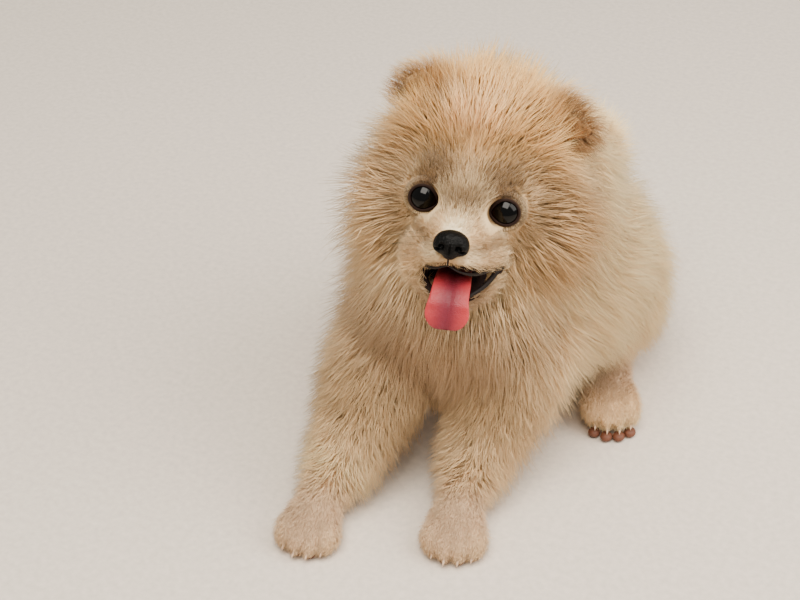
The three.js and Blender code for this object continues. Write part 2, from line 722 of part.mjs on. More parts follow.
const headSolid = headCore
  .subtract(joined(sideValues.map((side) => eyeOpening(side).solid(0))))
  .add(joined(sideValues.map(lidsRound)))
  .subtract(mouth.solid(0))
  .subtract(joined([...eyes, noseForm, tongueForm].map((form) => form.solid(0, GAP))))
  .add(joined(headLocks));
const headSolids = [add(headGroup, "head", headSolid, "tan")];
const jawSolid = cores(jawForms).subtract(joined([mouth.solid(0), tongueForm.solid(0, GAP)]));
headSolids.push(add(headGroup, "lower_jaw", jawSolid.subtract(headRoom), "cream"));
add(headGroup, "tongue", tongueForm.solid(0), "tongue");
const noseHoles = joined(nostrils.map((nostril) => nostril.solid(0)));
add(headGroup, "nose", noseForm.solid(0).subtract(noseHoles), "nose");
for (const [name, eye] of Object.entries(eyeBalls)) add(headGroup, `eye_${name}`, eye.solid(0), "eye");
for (const [name, { lobe, cup }] of Object.entries(ears)) {
  const ear = coreOf(lobe).subtract(cup.solid(0)).subtract(headRoom);
  headSolids.push(add(headGroup, `ear_${name}`, ear, "brown"));
}

// Legs, tail, neck and torso: each core is cut clear of those before it.
let coresTaken = toBody(joined([headRoom, headTrim]));
let finished = toBody(joined(headSolids));
for (const name of Object.keys(bodyNodes).reverse()) {
  const core = bodyCores[name].subtract(UNDERGROUND).subtract(coresTaken);
  const finish = finishes[name] ?? (name.includes("paw") ? "pale" : "cream");
  const whole = add(model, name, joined([core, ...bodyLocks[name]]).subtract(finished), finish);
  finished = finished.add(whole);
  coresTaken = coresTaken.add(coreRooms[name]);
}

// The origin is under the middle of the puppy, on the floor.
model.updateMatrixWorld(true);
const box = new THREE.Box3().setFromObject(model, true);
const boxCentre = box.getCenter(new THREE.Vector3());
model.position.set(-boxCentre.x, -boxCentre.y, -box.min.z);

export default model;
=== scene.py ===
"""A life-size Pomeranian puppy: skin, long coat, face and paws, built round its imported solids.

Lengths are worked out in millimetres in the puppy's own frame, where +X is its left, -Y its front
and +Z up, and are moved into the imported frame's metres when a mesh is made.
"""

import itertools
import math

import bpy
import numpy as np
from mathutils import Matrix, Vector
from mathutils.kdtree import KDTree


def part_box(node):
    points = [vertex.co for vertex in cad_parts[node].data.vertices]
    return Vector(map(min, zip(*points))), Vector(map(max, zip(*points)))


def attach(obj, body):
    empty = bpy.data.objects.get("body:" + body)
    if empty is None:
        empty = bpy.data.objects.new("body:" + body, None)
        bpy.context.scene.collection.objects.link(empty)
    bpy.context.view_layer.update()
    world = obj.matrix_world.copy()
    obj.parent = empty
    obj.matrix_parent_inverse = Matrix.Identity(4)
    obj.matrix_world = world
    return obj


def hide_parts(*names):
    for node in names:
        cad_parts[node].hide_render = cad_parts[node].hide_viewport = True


bl_info = {
    "name": "Sitting puppy",
    "version": (1, 0, 0),
    "blender": (4, 5, 0),
    "location": "View3D > Sidebar > Puppy",
    "description": "Builds a puppy's skin, coat, face and paws round its packed solids",
    "category": "Object",
}

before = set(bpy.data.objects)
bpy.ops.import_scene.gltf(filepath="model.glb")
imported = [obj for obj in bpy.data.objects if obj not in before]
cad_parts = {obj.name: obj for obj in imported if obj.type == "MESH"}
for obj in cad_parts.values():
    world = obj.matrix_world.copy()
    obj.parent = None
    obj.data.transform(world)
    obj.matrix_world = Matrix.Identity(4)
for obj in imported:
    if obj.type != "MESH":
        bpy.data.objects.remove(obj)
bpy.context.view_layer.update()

MM = 0.001
FAR_OFF = 1e3
SIDES = {"left": 1, "right": -1}
UP = (0.0, 0.0, 1.0)

# The head's place and turn in the puppy's frame, and what its face is measured from. EYE_AT is the
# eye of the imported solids, and EYE_SEEN is where the photo shows it.
HEAD_AT = np.array([4.5, -21.5, 128.5])
HEAD_YAW, HEAD_PITCH, HEAD_ROLL = 16.5, 23.0, 6.0
EYE_AT = np.array([16.1, -20.0, -4.8])
EYE_SEEN = EYE_AT + [-0.8, 0, 0.5]
EYE_RADIUS = 6.9
EYE_SPLAY = 2.0
NOSE_AT = np.array([0.0, -47.0, -14.8])

LIMB_NODES = ("front_leg", "hind_leg", "front_paw", "hind_paw")
FLESH_NODES = ["head", "lower_jaw", "ear_left", "ear_right", "neck", "torso", "tail"]
FLESH_NODES += [f"{name}_{side}" for name in LIMB_NODES for side in SIDES]


def linear(red, green, blue):
    """A linear colour from one of 0 to 255 a channel as seen on a screen."""
    return tuple((c / 255) ** 2.2 for c in (red, green, blue))


# Places and turns

def turn_about(axis, degrees):
    return np.array(Matrix.Rotation(math.radians(degrees), 3, axis))


HEAD_TURN = turn_about("Z", HEAD_YAW) @ turn_about("X", -HEAD_PITCH)
HEAD_TURN = HEAD_TURN @ turn_about("Y", HEAD_ROLL)


def from_head(points):
    """Places in the head's frame, as places in the puppy's."""
    return np.asarray(points, float) @ HEAD_TURN.T + HEAD_AT


def into_head(points):
    """Places in the puppy's frame, as places in the head's."""
    return (np.asarray(points, float) - HEAD_AT) @ HEAD_TURN


def mirrored(point, side):
    """A point of the left side, on the side given."""
    return np.array([point[0] * side, point[1], point[2]])


EYE_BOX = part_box("eye_left")
SHIFT = np.array((EYE_BOX[0] + EYE_BOX[1]) / 2) / MM - from_head(EYE_AT)


def in_frame(points):
    """Places in the puppy's frame in millimetres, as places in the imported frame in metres."""
    return (np.asarray(points, float) + SHIFT) * MM


# Forms that the flesh is made of

CURVE_STEPS = 24


def smooth_curve(rows, shares):
    """Rows at shares of the length of the smooth curve through the places that the rows start with."""
    rows = np.asarray(rows, float)
    padded = np.vstack([2 * rows[0] - rows[1], rows, 2 * rows[-1] - rows[-2]])
    dense = []
    for i in range(len(rows) - 1):
        a, b, c, d = padded[i : i + 4]
        t = np.linspace(0, 1, CURVE_STEPS, endpoint=i == len(rows) - 2)[:, None]
        square, cube = 2 * a - 5 * b + 4 * c - d, 3 * b - a - 3 * c + d
        dense.append(0.5 * (2 * b + (c - a) * t + square * t**2 + cube * t**3))
    dense = np.vstack(dense)
    steps = np.linalg.norm(np.diff(dense[:, :3], axis=0), axis=1)
    run = np.concatenate([[0], np.cumsum(steps)])
    stops = np.asarray(shares) * run[-1]
    return np.stack([np.interp(stops, run, column) for column in dense.T], axis=1)


def unit(vectors):
    """Vectors brought to a length of one."""
    return vectors / np.maximum(np.linalg.norm(vectors, axis=-1, keepdims=True), 1e-9)


def along_spine(spine, sizes, way, top, blunt):
    """A form's centres, sizes, axes and rounding at places from -1 to 1 along its spine."""
    table = smooth_curve(np.hstack([spine, sizes]), (way + 1) / 2)
    centre = table[:, :3]
    tangent = unit(np.gradient(centre, axis=0))
    across = unit(np.cross(tangent, top))
    axes = across, np.cross(across, tangent), tangent
    return centre, table[:, 3:], axes, (1 - way**2) ** (blunt / 2)


def ball_distance(local, radii):
    """Distance to the surface of a ball with the radii given, from places in its own frame."""
    outer = np.linalg.norm(local / radii, axis=1)
    inner = np.linalg.norm(local / radii**2, axis=1)
    return outer * (outer - 1) / np.maximum(inner, 1e-4)


def in_box(points, low, high):
    """Which points lie inside a box."""
    return np.all((points > low) & (points < high), axis=1)


class Limb:
    """A round form along a curve. sizes holds [half width, half height, coat depth] at each point."""

    SHARPEST_CAP = 3.0
    SPAN_MARGIN = 12

    def __init__(self, spine, sizes, top=UP, blunt=0.6, lie=1.0, on_head=False, stations=18):
        way = -np.cos(np.pi * (np.arange(stations) + 0.5) / stations)
        self.centre, size, axes, spread = along_spine(spine, sizes, way, top, blunt)
        if on_head:
            self.centre = from_head(self.centre)
            axes = [v @ HEAD_TURN.T for v in axes]
        self.half = size[:, :2] * spread[:, None]
        self.coat = size[:, 2]
        self.axes = np.stack(axes, axis=1)
        self.lie = axes[2] * lie
        self.reach = self.half.max() + 1

    def box(self, margin):
        wide = self.reach + margin
        return self.centre.min(0) - wide, self.centre.max(0) + wide

    def spans(self):
        return range(len(self.centre) - 1)

    def near(self, points, i):
        """Distance to one span of the form, and how far along the span each point lies."""
        start, along = self.centre[i], self.centre[i + 1] - self.centre[i]
        t = np.clip(((points - start) @ along) / (along @ along), 0, 1)
        off = points - start - t[:, None] * along
        half = self.half[i] + t[:, None] * (self.half[i + 1] - self.half[i])
        cap = np.minimum(half.min(1), self.SHARPEST_CAP)[:, None]
        return ball_distance(off @ self.axes[i].T, np.hstack([half, cap])), t

    def distance(self, points):
        best = np.full(len(points), FAR_OFF)
        for i in self.spans():
            ends, wide = self.centre[i : i + 2], self.half[i].max()
            close = in_box(
                points, ends.min(0) - wide - self.SPAN_MARGIN, ends.max(0) + wide + self.SPAN_MARGIN
            )
            if close.any():
                best[close] = np.minimum(best[close], self.near(points[close], i)[0])
        return best

    def dress(self, points):
        """Distance, coat depth and the coat's lie at each point."""
        best, coat = np.full(len(points), FAR_OFF), np.zeros(len(points))
        lie = np.zeros((len(points), 3))
        for i in self.spans():
            distance, t = self.near(points, i)
            closer = distance < best
            best[closer] = distance[closer]
            coat[closer] = (self.coat[i] * (1 - t) + self.coat[i + 1] * t)[closer]
            lie[closer] = self.lie[i]
        return best, coat, lie


class Ball:
    """A ball with three half sizes. Its coat lies away from the point `parting`."""

    def __init__(self, at, radii, coat=0, parting=(0, 0, 0), on_head=False):
        self.at, self.parting = (
            from_head(v) if on_head else np.asarray(v, float) for v in (at, parting)
        )
        self.radii = np.asarray(radii, float)
        self.coat = coat
        self.turn = HEAD_TURN if on_head else np.eye(3)
        self.reach = self.radii.max()

    def box(self, margin):
        wide = self.reach + margin
        return self.at - wide, self.at + wide

    def distance(self, points):
        return ball_distance((points - self.at) @ self.turn, self.radii)

    def dress(self, points):
        return self.distance(points), np.full(len(points), self.coat), unit(points - self.parting)


# The points in front of the face that the head's coat lies away from
FACE_PARTING = (0, -62, -14)
CROWN_PARTING = (0, -40, -4)


def head_forms():
    forms = [
        Ball([0, -12, -4.5], [23.5, 18, 17], 4.5, FACE_PARTING, True),
        Ball([0, 7, 2], [27, 24, 24], 18, CROWN_PARTING, True),
        Ball([0, 9, 15], [21, 19, 17], 19.5, CROWN_PARTING, True),
        Limb(
            [[0, -14, -9], [0, -28, -11.5], [0, -39, -14], [0, -46, -16]],
            [[17, 14, 4], [14, 10.5, 3], [11, 8.5, 2], [8, 6.8, 1]],
            lie=-1, on_head=True,
        ),
        Limb(
            [[0, -8, -27], [0.4, -22, -33.5], [0.8, -33, -37.4], [1, -40, -38.2]],
            [[14, 7, 8], [12, 5.2, 7], [9.6, 3.8, 4], [6.6, 2.8, 2]],
            lie=-1, on_head=True,
        ),
        Ball([-12.5, -31, -26.5], [4.5, 8.5, 5.5], 5, FACE_PARTING, True),
    ]
    for side in SIDES.values():
        upper_lip = [[1.2 * side, -46.6, -20.2], [7.6 * side, -42.4, -21.8],
                     [12.6 * side, -34, -21.6], [16.8 * side, -25.5, -19.6]]
        lower_lip = [[1 + 1.6 * side, -41.5, -35.8], [1 + 7.6 * side, -38.2, -34.6],
                     [0.6 + 12.6 * side, -33, -30.6], [18.4 * side, -25.5, -23.6]]
        forms += [
            Ball([18 * side, 5, -12], [14, 15, 13], 22, CROWN_PARTING, True),
            Limb(upper_lip, [[2.2, 2.8, 1.2], [2.5, 3, 1.8], [2.4, 2.8, 3], [1.8, 2, 5]], on_head=True),
            Limb(lower_lip, [[1.7, 1.8, 1], [1.9, 2, 1.4], [2, 2.2, 2], [2, 2, 2.5]], on_head=True),
        ]
    return forms


EARS = {
    "left": dict(base=[18, 6, 21], middle=[26, 5, 27.5], tip=[40, -1, 26], facing=[0.5, -1, 0.55]),
    "right": dict(
        base=[-16, 6, 22], middle=[-23.5, 5, 30], tip=[-31.5, -1, 34.5], facing=[-0.25, -1, 0.35]
    ),
}


def ear_forms():
    """Each ear's lobe, and the cup pressed into its front."""
    lobe_sizes, cup_sizes = [[12, 3.2, 10], [11, 3, 9], [4, 2, 7]], [[6.5, 3.4, 0], [4, 2.4, 0]]
    lobes, cups = [], []
    for ear in EARS.values():
        base, middle, tip, facing = (np.array(v, float) for v in ear.values())
        facing = unit(facing)
        lobes.append(Limb([base, middle, tip], lobe_sizes, top=facing, on_head=True))
        front = [
            base * 0.55 + middle * 0.45 + facing * 4.6,
            middle * 0.5 + tip * 0.5 + facing * 3.8,
        ]
        cups.append(Limb(front, cup_sizes, top=facing, on_head=True, stations=8))
    return lobes, cups


TRUNK = dict(
    spine=[[3, 83, 30], [2, 58, 51], [0, 22, 66], [-3, -14, 76], [-4, -32, 72]],
    sizes=[[25, 27, 20], [33, 29, 25], [33, 32, 27], [31, 32, 28], [24, 25, 25]],
)
NECK = dict(
    spine=[[-3, -4, 80], [-2, 2, 96], [2, 6, 114], [3, 4, 132]],
    sizes=[[29, 27, 27], [27, 25, 29.5], [26, 24, 30], [20, 21, 26]],
)
TAIL = dict(
    spine=[[3, 90, 56], [7, 96, 76], [12, 84, 91], [17, 64, 95], [19, 44, 94]],
    sizes=[[6, 6, 12], [5.5, 5.5, 14], [5, 5, 14], [4.5, 4.5, 13], [4, 4, 11]],
)
FRONT_LEGS = {
    "left": dict(
        spine=[[17, -16, 64], [21, -34, 38], [19, -50, 22], [19.5, -66, 13]],
        paw=[[20, -66, 11.5], [23, -78, 8.4], [26, -88, 6.8]],
    ),
    "right": dict(
        spine=[[-21, -28, 64], [-27, -54, 38], [-29, -72, 22], [-31.5, -88, 13]],
        paw=[[-31, -88, 11.5], [-29.5, -100, 8.4], [-28, -109, 6.8]],
    ),
}
HIND_LEGS = {
    "left": dict(
        thigh=[[22, 76, 37], [34, 56, 41], [41, 36, 31]],
        shank=[[42, 36, 24], [39, 48, 15], [36, 57, 10]],
        paw=[[36, 54, 8.5], [46, 31, 8.8], [56, 9, 9]],
    ),
    "right": dict(
        thigh=[[-16, 76, 37], [-29, 54, 41], [-36, 34, 30]],
        shank=[[-37, 36, 22], [-35, 48, 14], [-33, 58, 9.5]],
        paw=[[-32, 56, 8.5], [-36, 38, 8.4], [-39, 27, 7.4]],
    ),
}
LEG_SIZES = {
    "front": [[15, 16, 19], [9.5, 10, 13], [7.4, 7.8, 10.5], [6.8, 7, 7]],
    "front_paw": [[7, 6.5, 4], [9.5, 7.2, 3.4], [9.6, 5.6, 2.6]],
    "thigh": [[15, 22, 12], [15, 25, 14], [11, 14, 10]],
    "shank": [[9, 9, 7], [7, 7, 5], [6, 6, 4]],
    "hind_paw": [[6.4, 6, 4], [8.4, 6.6, 3.4], [9, 5.8, 2.6]],
}
# Toes: their half width, their steps across the paw, and their sizes and coat along them. The outer
# toes are shorter than the middle ones.
TOE_SIZE = {"front": 5.2, "hind": 5.0}
TOE_STEPS = (-1.5, -0.52, 0.52, 1.5)
OUTER_TOE = 0.72
TOE_SIZES = np.array([[0.7, 0.75, 0], [0.8, 0.95, 0], [0.62, 0.72, 0]])
TOE_COAT = [3.2, 2.6, 2.0]
BACK_LIE = -0.9


def paws():
    """Each paw's spine and toe size."""
    for legs, kind in ((FRONT_LEGS, "front"), (HIND_LEGS, "hind")):
        for leg in legs.values():
            yield np.array(leg["paw"], float), TOE_SIZE[kind]


def toe_spines(paw, size):
    """The root, knuckle and end of each of a paw's four toes, and the way they point."""
    _, middle, tip = paw
    ahead = unit((tip - middle) * [1, 1, 0])
    across = np.array([-ahead[1], ahead[0], 0])
    for step in TOE_STEPS:
        reach = 1 if abs(step) < 1 else OUTER_TOE
        root = middle + across * step * size * 0.78
        knuckle = tip + across * step * size + ahead * size * (reach - 1.4)
        end = knuckle + ahead * size * (0.95 * reach + 0.3)
        end[2] = max(size * 0.62, knuckle[2] - size * 0.42)
        yield root, knuckle, end, ahead


def body_forms():
    forms = [
        Limb(**TRUNK, lie=-1),
        Ball([0, 20, 44], [28, 46, 26], 16, (0, -60, 80)),
        Limb(**NECK, top=(0, -1, 0), blunt=0.5, lie=BACK_LIE),
        Ball([-2, -28, 84], [26, 14, 24], 20, (0, -40, 150)),
        Limb(**TAIL, top=(1, 0, 0)),
    ]
    for leg in FRONT_LEGS.values():
        forms.append(Limb(leg["spine"], LEG_SIZES["front"]))
        forms.append(Limb(leg["paw"], LEG_SIZES["front_paw"]))
    for leg in HIND_LEGS.values():
        forms.append(Limb(leg["thigh"], LEG_SIZES["thigh"], lie=1))
        forms.append(Limb(leg["shank"], LEG_SIZES["shank"]))
        forms.append(Limb(leg["paw"], LEG_SIZES["hind_paw"]))
    return forms


def toe_forms():
    forms = []
    for paw, size in paws():
        sizes = size * TOE_SIZES
        sizes[:, 2] = TOE_COAT
        for *spine, _ in toe_spines(paw, size):
            forms.append(Limb(spine, sizes, stations=8))
    return forms


MOUTH = dict(
    spine=[[0, -12, -23], [2.6, -24, -26], [5, -36, -29.4], [6, -54, -33]],
    sizes=[[12, 3.2, 0], [15, 4.4, 0], [12.6, 5.6, 0], [11, 8, 0]],
    blunt=0.3,
)


# Distance fields and the surfaces drawn from them

class Field:
    """Distances held on an even grid."""

    EMPTY = 60.0

    def __init__(self, low, high, pace):
        self.low, self.pace = np.asarray(low, float), pace
        self.count = np.ceil((np.asarray(high) - self.low) / pace).astype(int) + 1
        self.value = np.full(self.count, self.EMPTY, np.float32)

    def part(self, low, high):
        first = np.clip(np.floor((low - self.low) / self.pace).astype(int), 0, self.count)
        last = np.clip(np.ceil((high - self.low) / self.pace).astype(int) + 1, 0, self.count)
        return tuple(slice(a, b) for a, b in zip(first, last))

    def places(self, part):
        lines = [self.low[i] + self.pace * np.arange(s.start, s.stop) for i, s in enumerate(part)]
        return np.stack(np.meshgrid(*lines, indexing="ij"), axis=-1).reshape(-1, 3)

    def merge(self, form, soft, margin):
        """Joins a form to the field, filling the crease between them over a length of `soft`."""
        part = self.part(*form.box(margin))
        old = self.value[part]
        new = form.distance(self.places(part)).reshape(old.shape)
        share = np.clip(0.5 + 0.5 * (old - new) / soft, 0, 1)
        self.value[part] = old * (1 - share) + new * share - soft * share * (1 - share)

    def carve(self, form, margin=3.0):
        """Takes a form out of the field."""
        part = self.part(*form.box(margin))
        new = form.distance(self.places(part)).reshape(self.value[part].shape)
        self.value[part] = np.maximum(self.value[part], -new)

    def sample(self, points):
        """The field between grid points."""
        at = np.clip((points - self.low) / self.pace, 0, self.count - 1.001)
        cell = at.astype(int)
        rest = at - cell
        total = np.zeros(len(points))
        for corner in itertools.product((0, 1), repeat=3):
            weight = np.prod(np.where(corner, rest, 1 - rest), axis=1)
            total += weight * self.value[tuple((cell + corner).T)]
        return total

    def outward(self, points, reach=2.0):
        """The way straight out of the field's forms."""
        pairs = [(self.sample(points + s), self.sample(points - s)) for s in np.eye(3) * reach]
        return unit(np.stack([ahead - behind for ahead, behind in pairs], axis=1))

    def surface(self):
        """Points and four-sided faces where the field is zero."""
        value = self.value
        corners = list(itertools.product((0, 1), repeat=3))
        size = np.array(value.shape) - 1

        def at(corner):
            return value[tuple(slice(c, c + s) for c, s in zip(corner, size))]

        inside = sum((at(c) < 0).astype(np.int8) for c in corners)
        mixed = (inside > 0) & (inside < 8)
        number = np.full(mixed.shape, -1)
        number[mixed] = np.arange(mixed.sum())
        cells = np.argwhere(mixed)
        points, crossings = np.zeros((len(cells), 3)), np.zeros(len(cells))
        for axis in range(3):
            for c in corners:
                if c[axis]:
                    continue
                d = tuple(1 if i == axis else v for i, v in enumerate(c))
                a, b = at(c)[mixed], at(d)[mixed]
                crosses = (a < 0) != (b < 0)
                t = a[crosses] / (a[crosses] - b[crosses])
                points[crosses] += c
                points[crosses, axis] += t
                crossings[crosses] += 1
        points = self.low + self.pace * (cells + points / crossings[:, None])

        faces = []
        for axis in range(3):
            u, v = (axis + 1) % 3, (axis + 2) % 3
            lower = [slice(1, None)] * 3
            upper = [slice(1, None)] * 3
            lower[axis], upper[axis] = slice(None, -1), slice(1, None)
            lower[u] = upper[u] = lower[v] = upper[v] = slice(1, -1)
            a, b = value[tuple(lower)], value[tuple(upper)]
            for falls in (True, False):
                hit = np.argwhere((a < 0) & (b >= 0) if falls else (a >= 0) & (b < 0))
                hit[:, u] += 1
                hit[:, v] += 1
                ring = []
                for du, dv in ((0, 0), (-1, 0), (-1, -1), (0, -1)):
                    cell = hit.copy()
                    cell[:, u] += du
                    cell[:, v] += dv
                    ring.append(number[tuple(cell.T)])
                quad = np.stack(ring, axis=1)
                faces.append(quad if falls else quad[:, ::-1])
        return points, np.vstack(faces)


def relaxed(points, faces, rounds, strength=0.5):
    """Points drawn towards the middle of their neighbours."""
    ends = np.vstack([faces[:, [i, (i + 1) % 4]] for i in range(4)])
    count = np.bincount(ends.ravel(), minlength=len(points))[:, None]
    for _ in range(rounds):
        total = np.zeros_like(points)
        np.add.at(total, ends[:, 0], points[ends[:, 1]])
        np.add.at(total, ends[:, 1], points[ends[:, 0]])
        points = points * (1 - strength) + strength * total / count
    return points


# Meshes

def placed(name, data):
    """A new object in the scene, in place of any that an earlier run of its operator made."""
    old = bpy.data.objects.get(name)
    if old:
        bpy.data.objects.remove(old)
    made = bpy.data.objects.new(name, data)
    bpy.context.scene.collection.objects.link(made)
    return made


def add_attribute(mesh, name, values):
    """Stores a number or a vector at each of a mesh's points."""
    kind, key = ("FLOAT_VECTOR", "vector") if values.ndim > 1 else ("FLOAT", "value")
    layer = mesh.attributes.new(name, kind, "POINT")
    layer.data.foreach_set(key, values.astype(np.float32).ravel())


def read(items, key, width=1, kind=np.float32):
    """A key of all of a mesh's items, with a row for each item where it has several numbers."""
    values = np.zeros(len(items) * width, kind)
    items.foreach_get(key, values)
    return values.reshape(-1, width) if width > 1 else values


def piece(name, points, faces, material, slot, colours=None):
    """A smooth mesh object from places in the puppy's frame, riding on the model."""
    mesh = bpy.data.meshes.new(name)
    mesh.vertices.add(len(points))
    mesh.vertices.foreach_set("co", in_frame(points).astype(np.float32).ravel())
    mesh.loops.add(faces.size)
    mesh.loops.foreach_set("vertex_index", faces.astype(np.int32).ravel())
    mesh.polygons.add(len(faces))
    starts = np.arange(0, faces.size, faces.shape[1], dtype=np.int32)
    mesh.polygons.foreach_set("loop_start", starts)
    mesh.polygons.foreach_set("use_smooth", np.ones(len(faces), bool))
    mesh.update(calc_edges=True)
    if colours is not None:
        layer = mesh.color_attributes.new("tint", "FLOAT_COLOR", "POINT")
        rgba = np.hstack([colours, np.ones((len(colours), 1))]).astype(np.float32)
        layer.data.foreach_set("color", rgba.ravel())
    mesh.materials.append(material)
    made = placed(name, mesh)
    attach(made, "root")
    return made


def outward_faces(points, faces):
    """Faces turned so that their solid's volume is positive."""
    a, b, c = points[faces[:, 0]], points[faces[:, 1]], points[faces[:, 2]]
    volume = np.einsum("ij,ij->i", a, np.cross(b, c)).sum()
    return faces if volume > 0 else faces[:, ::-1]


def swept(spine, sizes, sides=24, rings=24, top=UP, blunt=0.6, shape=None):
    """A closed form along a curve, as points and triangles. shape bends its cross-section."""
    way = -np.cos(np.pi * np.arange(1, rings) / rings)
    centre, size, (across, lift, _), spread = along_spine(spine, sizes, way, top, blunt)
    angle = 2 * np.pi * np.arange(sides) / sides
    x = np.cos(angle)[None, :] * (size[:, 0] * spread)[:, None]
    y = np.sin(angle)[None, :] * (size[:, 1] * spread)[:, None]
    if shape:
        x, y = shape(x, y, way[:, None], angle[None, :])
    body = centre[:, None] + x[..., None] * across[:, None] + y[..., None] * lift[:, None]
    ends = smooth_curve(spine, [0, 1])
    points = np.vstack([ends[:1], body.reshape(-1, 3), ends[1:]])
    ring, k = (v.ravel() for v in np.meshgrid(np.arange(rings - 2), np.arange(sides), indexing="ij"))
    a, b = 1 + ring * sides + k, 1 + ring * sides + (k + 1) % sides
    c, d = b + sides, a + sides
    last = len(points) - 1
    k = np.arange(sides)
    following = (k + 1) % sides
    last_ring = 1 + (rings - 2) * sides
    faces = np.vstack([
        np.stack([a, d, c], axis=1),
        np.stack([a, c, b], axis=1),
        np.stack([np.zeros_like(k), 1 + k, 1 + following], axis=1),
        np.stack([np.full_like(k, last), last_ring + following, last_ring + k], axis=1),
    ])
    return points, outward_faces(points, faces)


def together(parts):
    """Several meshes of like faces as one."""
    start, points, faces = 0, [], []
    for p, f in parts:
        points.append(p)
        faces.append(f + start)
        start += len(p)
    return np.vstack(points), np.vstack(faces)


# Markings of the coat, with painted light and shade

# How far out a patch of colour reaches in half sizes, how softly it ends and how fast it fades
PATCH_END, PATCH_BLUR, PATCH_FALL = 1.35, 0.8, 1.3


def blended(first, second, share):
    """Rows of the first turned into the second by each row's share."""
    return first * (1 - share[:, None]) + np.array(second) * share[:, None]


def patches(colours):
    """Where each colour lies on the head and on the body: a middle, three half sizes and a strength.
    Some patches are painted light and shade, not markings.
    """
    c = colours
    head = [
        ((0, -4, 24), (34, 22, 22), c.crown, 0.8),
        ((0, -14, 9), (22, 12, 13), c.forehead, 0.8),
        ((-2, -12, 19), (10, 9, 8), c.ruff, 0.8),
        ((12, -23, 4), (13, 11, 7.5), c.brow, 0.9),
        ((-12, -23, 4), (13, 11, 7.5), c.brow, 0.9),
        ((27, -6, -10), (15, 18, 18), c.cheek, 0.85),
        ((-27, -6, -10), (13, 18, 18), c.cheek, 0.45),
        ((0, -38, -18), (19, 16, 11), c.muzzle, 0.8),
        ((0, -43, -10), (4.6, 6, 4), c.pale, 0.85),
        ((0, -33, -3.5), (10, 7.5, 6), c.brow, 0.85),
        ((-20, -7, 26), (12, 9, 6), c.ear, 0.5),
        ((22, -8, 22), (14, 9, 6), c.ear, 0.5),
        ((7, -44, -19), (5, 6, 4), c.pale, 0.5),
        ((-7, -44, -19), (5, 6, 4), c.pale, 0.5),
        # Painted shade: the hair under the chin darkened with the chest colour, where the head shades
        # it.
        ((1, -32, -39), (16, 16, 11), c.chest, 0.95),
        ((32, 0, 25), (15, 9, 7), c.ear, 0.85),
        ((-26, 0, 30), (11, 9, 7), c.ear, 0.85),
        ((26, -25, -7), (8, 5, 2.2), c.shade, 0.6),
    ]
    for side in SIDES.values():
        head.append((mirrored(EYE_SEEN + [0, -4, 0], side), (8.2, 7, 7), c.shade, 0.9))
        head.append((mirrored(EYE_SEEN + [-5.5, -6, -2.5], side), (4, 4, 4), c.brow, 0.8))
    body = [
        # Painted shade: the chest darkened below the head.
        ((-2, -38, 70), (34, 26, 34), c.chest, 0.85),
        # Painted light: the back made paler where the light from above falls.
        ((0, 20, 104), (44, 70, 22), c.top, 0.7),
        # Painted shade: the flanks darker low down, towards the floor.
        ((0, 20, 20), (60, 80, 18), c.low, 0.6),
        ((-50, -24, 92), (22, 34, 34), c.ruff, 0.7),
        # Painted shade: the darkest hair colour laid between the front legs and under the chest, where
        # shadow falls.
        ((0, -62, 36), (14, 26, 30), c.shade, 0.7),
    ]
    for leg in FRONT_LEGS.values():
        body.append((leg["spine"][1], (14, 18, 22), c.leg, 0.7))
    for paw, _ in paws():
        body.append((paw[1], (17, 22, 14), c.paw, 0.8))
    return head, body


def markings_and_painted_light(points, colours):
    """The coat's colour at places in the puppy's frame: its markings, with painted light on the back
    and painted shade on the chest, low on the flanks and between the front legs.
    """
    made = np.tile(np.array(colours.cream), (len(points), 1))
    head, body = patches(colours)
    for places, group in ((points, body), (into_head(points), head)):
        for middle, half, colour, strength in group:
            out = np.linalg.norm((places - np.asarray(middle)) / np.asarray(half), axis=1)
            share = strength * np.clip((PATCH_END - out) / PATCH_BLUR, 0, 1) ** PATCH_FALL
            made = blended(made, colour, share)
    return made


# Materials

def add_node(tree, kind, inputs=(), **settings):
    """A node with its settings, and each input linked to a socket or set to a value."""
    made = tree.nodes.new(kind)
    for key, value in settings.items():
        setattr(made, key, value)
    for key, value in dict(inputs).items():
        if isinstance(value, bpy.types.NodeSocket):
            tree.links.new(value, made.inputs[key])
        else:
            made.inputs[key].default_value = value
    return made


